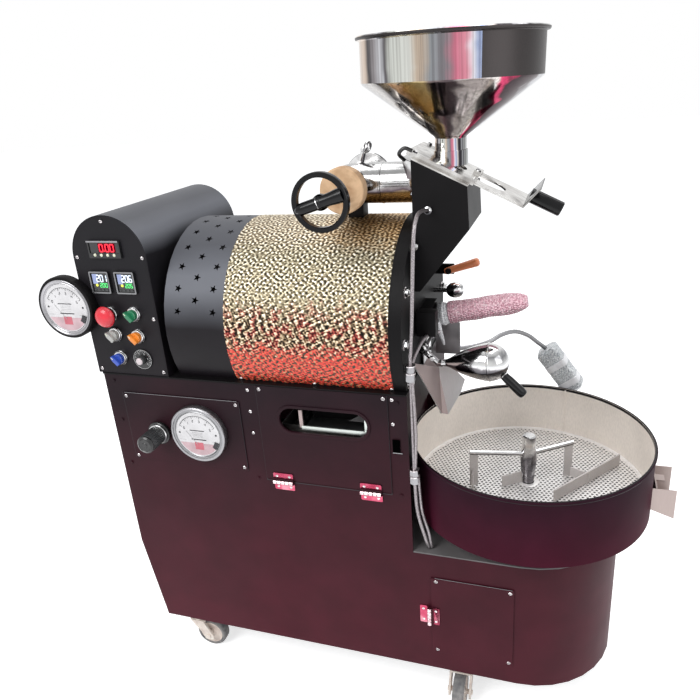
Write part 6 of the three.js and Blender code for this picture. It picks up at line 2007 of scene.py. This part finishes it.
def discharge_door_details():
    root = Vector(LEVER_ROOT)
    toward = Vector(BALL_AT) - root
    length = toward.length
    profile = [
        (0, -4), (5.4, -3.4), (6.4, -1), (6.4, 4), (7.4, 5), (7.4, 8), (6.4, 9), (7.0, 16),
        (9.5, length * 0.24), (14.6, length * 0.33), (20.4, length * 0.45), (26.2, length * 0.6),
        (30.8, length * 0.75), (34.0, length * 0.9),
    ]
    profile += [
        (BALL_R * math.cos(a), length + BALL_R * math.sin(a))
        for a in (math.pi / 2 * i / 12 for i in range(0, 12))
    ]
    profile.append((0, length + BALL_R))
    pear = turned("pear", profile, LEVER_ROOT, toward, CHROME, "discharge_door", 72, None, 50)
    belt = turned(
        "belt",
        [
            (BALL_R + 0.1, length - 2), (BALL_R + 0.9, length - 1), (BALL_R + 0.9, length + 0.6),
            (BALL_R + 0.1, length + 1.6),
        ],
        LEVER_ROOT, toward, CHROME, "discharge_door", 72,
    )
    lean = Vector((math.cos(HANDLE_TILT), 0, -math.sin(HANDLE_TILT)))
    ferrule = turned(
        "ferrule", [(9.4, 26), (9.6, 34), (8.4, 35.4)], BALL_AT, lean, CHROME, "discharge_door", 36,
    )
    handle = turned(
        "handle", [(7.0, 33), (7.8, 36), (8.8, 50), (9.4, 78), (8.8, 84.6), (7.4, 86.6), (0, 87.2)],
        BALL_AT, lean, BLACK_GLOSS, "discharge_door", 40,
    )
    leaf = cuboid("leaf", 625.3, 631.3, 130, 194, 721, 758, CHROME, "discharge_door", 1.0)
    pin = turned(
        "pin", [(0, 0), (5.2, 0), (6, 0.8), (6, 81), (5.2, 82), (0, 82)], (631.3, 112, DOOR_HINGE_Z), REAR,
        CHROME, "discharge_door", 32,
    )
    knuckles = [
        turned(
            "knuckle", [(6.2, 0), (8.4, 0.6), (8.4, 9), (6.2, 9.6)], (631.3, y, DOOR_HINGE_Z), REAR, CHROME,
            "discharge_door", 32,
        )
        for y in (112.5, 126, 182)
    ]
    stem = swept(
        "stem", [(631.3, 120, DOOR_HINGE_Z), (642, 120, 746), root, root + toward * 0.05], 6.0, CHROME,
        "discharge_door", 20,
    )
    clamps = [
        hex_bolt((x, 113.5, z), FRONT, 5.6, 5.0, "discharge_door", CHROME)
        for x, z in ((640, 752), (650, 742))
    ]
    stand_in(
        joined("discharge_lever", [pear, belt, ferrule, handle, leaf, pin, stem] + knuckles + clamps),
        "discharge_door",
    )


def spout_details():
    spout = weighted(dressed("discharge_spout", SPOUT_PALE, 0.2))
    # Faces that look left or back keep the pale steel and the rest take the warm darker copy: painted light
    # and shade on one steel.
    recolour(spout, SPOUT_WARM, lambda p, n: not (n.x < -0.1 or n.y > 0.3))
    shield = [(640, 196, 795), (688, 196, 783), (688, 196, 718), (640, 196, 718)]
    plate_between("chute_shield", shield, (0, 2, 0), SPOUT_DARK, "machine", 0.3)


SIDE_LEVER = (655, 268, 866)
SIDE_TILT = 0.31


def side_lever_details():
    lean = (math.cos(SIDE_TILT), 0, math.sin(SIDE_TILT))
    grip = turned(
        "grip",
        [
            (0, -3), (5.0, -2.6), (6.6, 0), (7.2, 14), (7.8, 40), (8.4, 58), (8.5, 63), (7.6, 66.6),
            (5.0, 68.6), (0, 69.4),
        ],
        Vector(SIDE_LEVER) - Vector(lean) * 6, lean, LEVER_WOOD, "side_lever", 40, None, 50,
    )
    rod = turned("rod", [(3.4, 0), (3.4, 14)], SIDE_LEVER, lean, CHROME, "side_lever", 20)
    hub = turned(
        "hub", [(0, -8), (5.6, -8), (6.2, -7), (6.2, 7), (5.6, 8), (0, 8)], SIDE_LEVER, REAR, CAST,
        "side_lever", 32,
    )
    stand_in(joined("side_lever_wood", [grip, rod, hub]), "side_lever")
    stand_in(
        turned(
            "latch_chrome_knob",
            [
                (5.4, 0), (5.4, 26), (7.4, 27), (10.0, 29), (13.4, 33), (15.4, 39), (15.9, 44), (14.6, 51),
                (11.4, 56.4), (6.0, 59.2), (0, 59.8),
            ],
            (625.3, 262, 828), RIGHT, CHROME, "latch_knob", 48, None, 50,
        ),
        "latch_knob",
    )
    cuboid("latch_box", 626, 662, 92, 118, 792, 838, CAST, "machine", 2.0)


# Lamp and leads
LAMP_ROUTE = (
    (627.3, 285, 690), (650, 285, 690), (698, 303, 692), (730, 318, 699), (752, 345, 705), (777, 375, 702),
    (802, 400, 685), (822, 415, 664), (840, 426, 646),
)
LAMP_AIM = (0.587, 0, -0.809)


def squared_band(start, end, radius, tip, aim):
    """A strip of film round the squarish wrapped head."""
    along, side, other = basis(aim)
    centre = Vector(tip)
    points = []
    count = 48
    for height, scale in ((start, 0.96), (start + 1, 1.0), (end - 1, 1.0), (end, 0.96)):
        for k in range(count):
            a = 2 * math.pi * k / count
            c, s = abs(math.cos(a)), abs(math.sin(a))
            r = radius * scale / (c ** 6 + s ** 6) ** (1 / 6)
            points.append(tuple(centre + along * height + (math.cos(a) * side + math.sin(a) * other) * r))
    return link_mesh("band", points, tube_faces(4, count, False), FILM_WHITE, "machine")


def lamp_details():
    path = smooth_path(LAMP_ROUTE, 14)
    stand_in(
        swept(
            "lamp_conduit", path, 4.6, BEZEL, "machine", 16,
            lambda s: 1 + 0.07 * math.sin(s * 2 * math.pi * 70),
        ),
        "work_lamp",
    )
    tip = LAMP_ROUTE[-1]

    def wrapped(share):
        if share < 0.92:
            return 18 + min(1, share * 22) * 5
        return 23 * math.sqrt(max(0.1, 1 - (share - 0.92) * 10))

    head = bubbled("lamp_head", wrapped, 0, 117, tip, LAMP_AIM, 5.0, 1.1, LAMP_FILM, "machine", 1.0)
    bands = [squared_band(t, t + 15, 24.6, tip, LAMP_AIM) for t in (34, 82)]
    stand_in(joined("lamp_wrapped_head", [head] + bands), "work_lamp")


LEAD_UPPER = (
    (654, 98.5, 1018), (650, 60, 1024), (650, 20, 1020), (648, 2, 985), (641, 2, 860), (636, 2, 790),
)
LEAD_TAIL = ((635, 2, 560), (638, 3, 480), (649, 8, 420), (655, 14, 391))


def lead_details():
    upper = swept("upper", smooth_path(LEAD_UPPER, 12), 3.2, BRAID, "machine", 14)
    lower = swept("lower", [(635, 2, z) for z in (796, 700, 640, 556)], 3.0, BRAID, "machine", 14)
    twin = swept(
        "twin", [(638, 0, 752), (641, -2, 690), (642, -2, 640), (638, 0, 574)], 2.8, BRAID, "machine", 12,
    )
    tail = swept("tail", smooth_path(LEAD_TAIL, 12), 3.5, BRAID, "machine", 14)
    second = swept(
        "second", smooth_path([(641, 6, 556), (645, 8, 480), (655, 12, 430), (660, 16, 391)], 12), 3.2,
        BRAID, "machine", 12,
    )
    branch = swept(
        "branch",
        smooth_path([(664, 120, 792), (652, 110, 794), (642, 80, 792), (637, 40, 782), (635, 8, 770)], 10),
        3.4, BRAID, "machine", 12,
    )
    nuts = []
    for z in (766, 752, 561, 547):
        nuts.append(
            turned(
                "nut", [(0, -8), (7.2, -8), (8.2, -7), (8.2, 7), (7.2, 8), (0, 8)], (635, 2, z), UP,
                BEZEL_PALE, "machine", 6,
            )
        )
        nuts.append(
            turned(
                "washer", [(0, -1), (9.4, -0.8), (9.4, 0.8), (0, 1)], (635, 2, z + 8.4), UP, SCREW,
                "machine", 28,
            )
        )
    elbow = turned(
        "elbow", [(0, 0), (6.6, 0), (6.6, 9), (4.2, 10), (4.2, 16)], (653.6, 99.4, 1018), (0, -1, 0.1),
        CHROME, "machine", 24,
    )
    stand_in(
        joined("braided_leads", [upper, lower, twin, tail, second, branch, elbow] + nuts), "sensor_leads",
    )


# Bin details
HOLE_R = 2.7
HOLE_PITCH = 8.4
FLOOR_REACH = 220.0
HUB_CLEAR = 17
ROW_SHARE = 0.866


def perforated_floor():
    points = []
    faces = []
    reach = FLOOR_REACH
    pitch = HOLE_PITCH
    rows = int(reach / (pitch * ROW_SHARE)) + 1
    for row in range(-rows, rows + 1):
        v = row * pitch * ROW_SHARE
        shift = pitch / 2 if row % 2 else 0.0
        columns = int(reach / pitch) + 1
        for column in range(-columns, columns + 1):
            u = column * pitch + shift
            distance = math.hypot(u, v)
            if distance > reach or distance < HUB_CLEAR:
                continue
            base = len(points)
            for k in range(12):
                a = math.radians(30 * k)
                hexagon = pitch / 2 / math.cos(math.radians((30 * k + 30) % 60 - 30))
                points.append(
                    (BIN_X + u + hexagon * math.cos(a), MIDDLE_Y + v + hexagon * math.sin(a), BIN_FLOOR)
                )
                points.append(
                    (BIN_X + u + HOLE_R * math.cos(a), MIDDLE_Y + v + HOLE_R * math.sin(a), BIN_FLOOR)
                )
                points.append(
                    (BIN_X + u + HOLE_R * math.cos(a), MIDDLE_Y + v + HOLE_R * math.sin(a), BIN_FLOOR - 2)
                )
            for k in range(12):
                n = (k + 1) % 12
                faces.append((base + 3 * k, base + 3 * n, base + 3 * n + 1, base + 3 * k + 1))
                faces.append((base + 3 * k + 1, base + 3 * n + 1, base + 3 * n + 2, base + 3 * k + 2))
    sheet = link_mesh("floor_sheet", points, faces, FLOOR_STEEL, "machine")
    edge = turned(
        "floor_edge", [(224.2, 456.4), (224.2, 460.2), (221.4, 459.6), (220.6, 458.8), (216, 458.4)],
        BIN_FOOT, UP, FLOOR_STEEL, "machine", 128,
    )
    centre = turned(
        "floor_centre", [(22, 459.0), (21, 459.6), (12.4, 459.6), (12.4, 456.4)], BIN_FOOT, UP, FLOOR_STEEL,
        "machine", 48,
    )
    dark = turned("floor_shade", [(218, 449), (14, 449)], BIN_FOOT, UP, CAST, "machine", 64)
    stand_in(joined("bin_floor_perforated", [sheet, edge, centre, dark]), "bin_floor")


def bin_details():
    perforated_floor()
    profile = [
        (224.3, 560), (223.8, 563), (224.4, 565.4), (225.4, 566.2), (227.6, 566.2), (228.8, 565.2),
        (229.2, 562.6), (228.6, 560),
    ]
    turned("bin_rim_bead", profile, BIN_FOOT, UP, BLACK_GLOSS, "machine", 160)
    cuboid(
        "bin_seam", BIN_X + 60, BIN_X + 63, MIDDLE_Y + 214.2, MIDDLE_Y + 215.2, 462, 563, BIN_IN, "machine",
        0.3,
    )


bpy.context.scene.view_settings.view_transform = "Standard"

cabinet()
cabinet_details()
housing()
face_details()
control_box()
hopper()
chute()
gate_details()
exhaust_details()
disc_details()
wheel_details()
sampler_details()
discharge_door_details()
spout_details()
side_lever_details()
lamp_details()
lead_details()
cooling_bin()
bin_details()
castors()
instruments()

add_camera()
add_world()
add_floor()
add_lamp("key", (-1.2, -2.2, 2.6), (0, 0, 0.6), 1.6, 60)
add_lamp("side", (2.4, -1.0, 1.8), (0, 0, 0.6), 1.8, 20)
add_lamp("top", (0.2, 0.6, 3.0), (0, 0, 0.6), 2.2, 40)
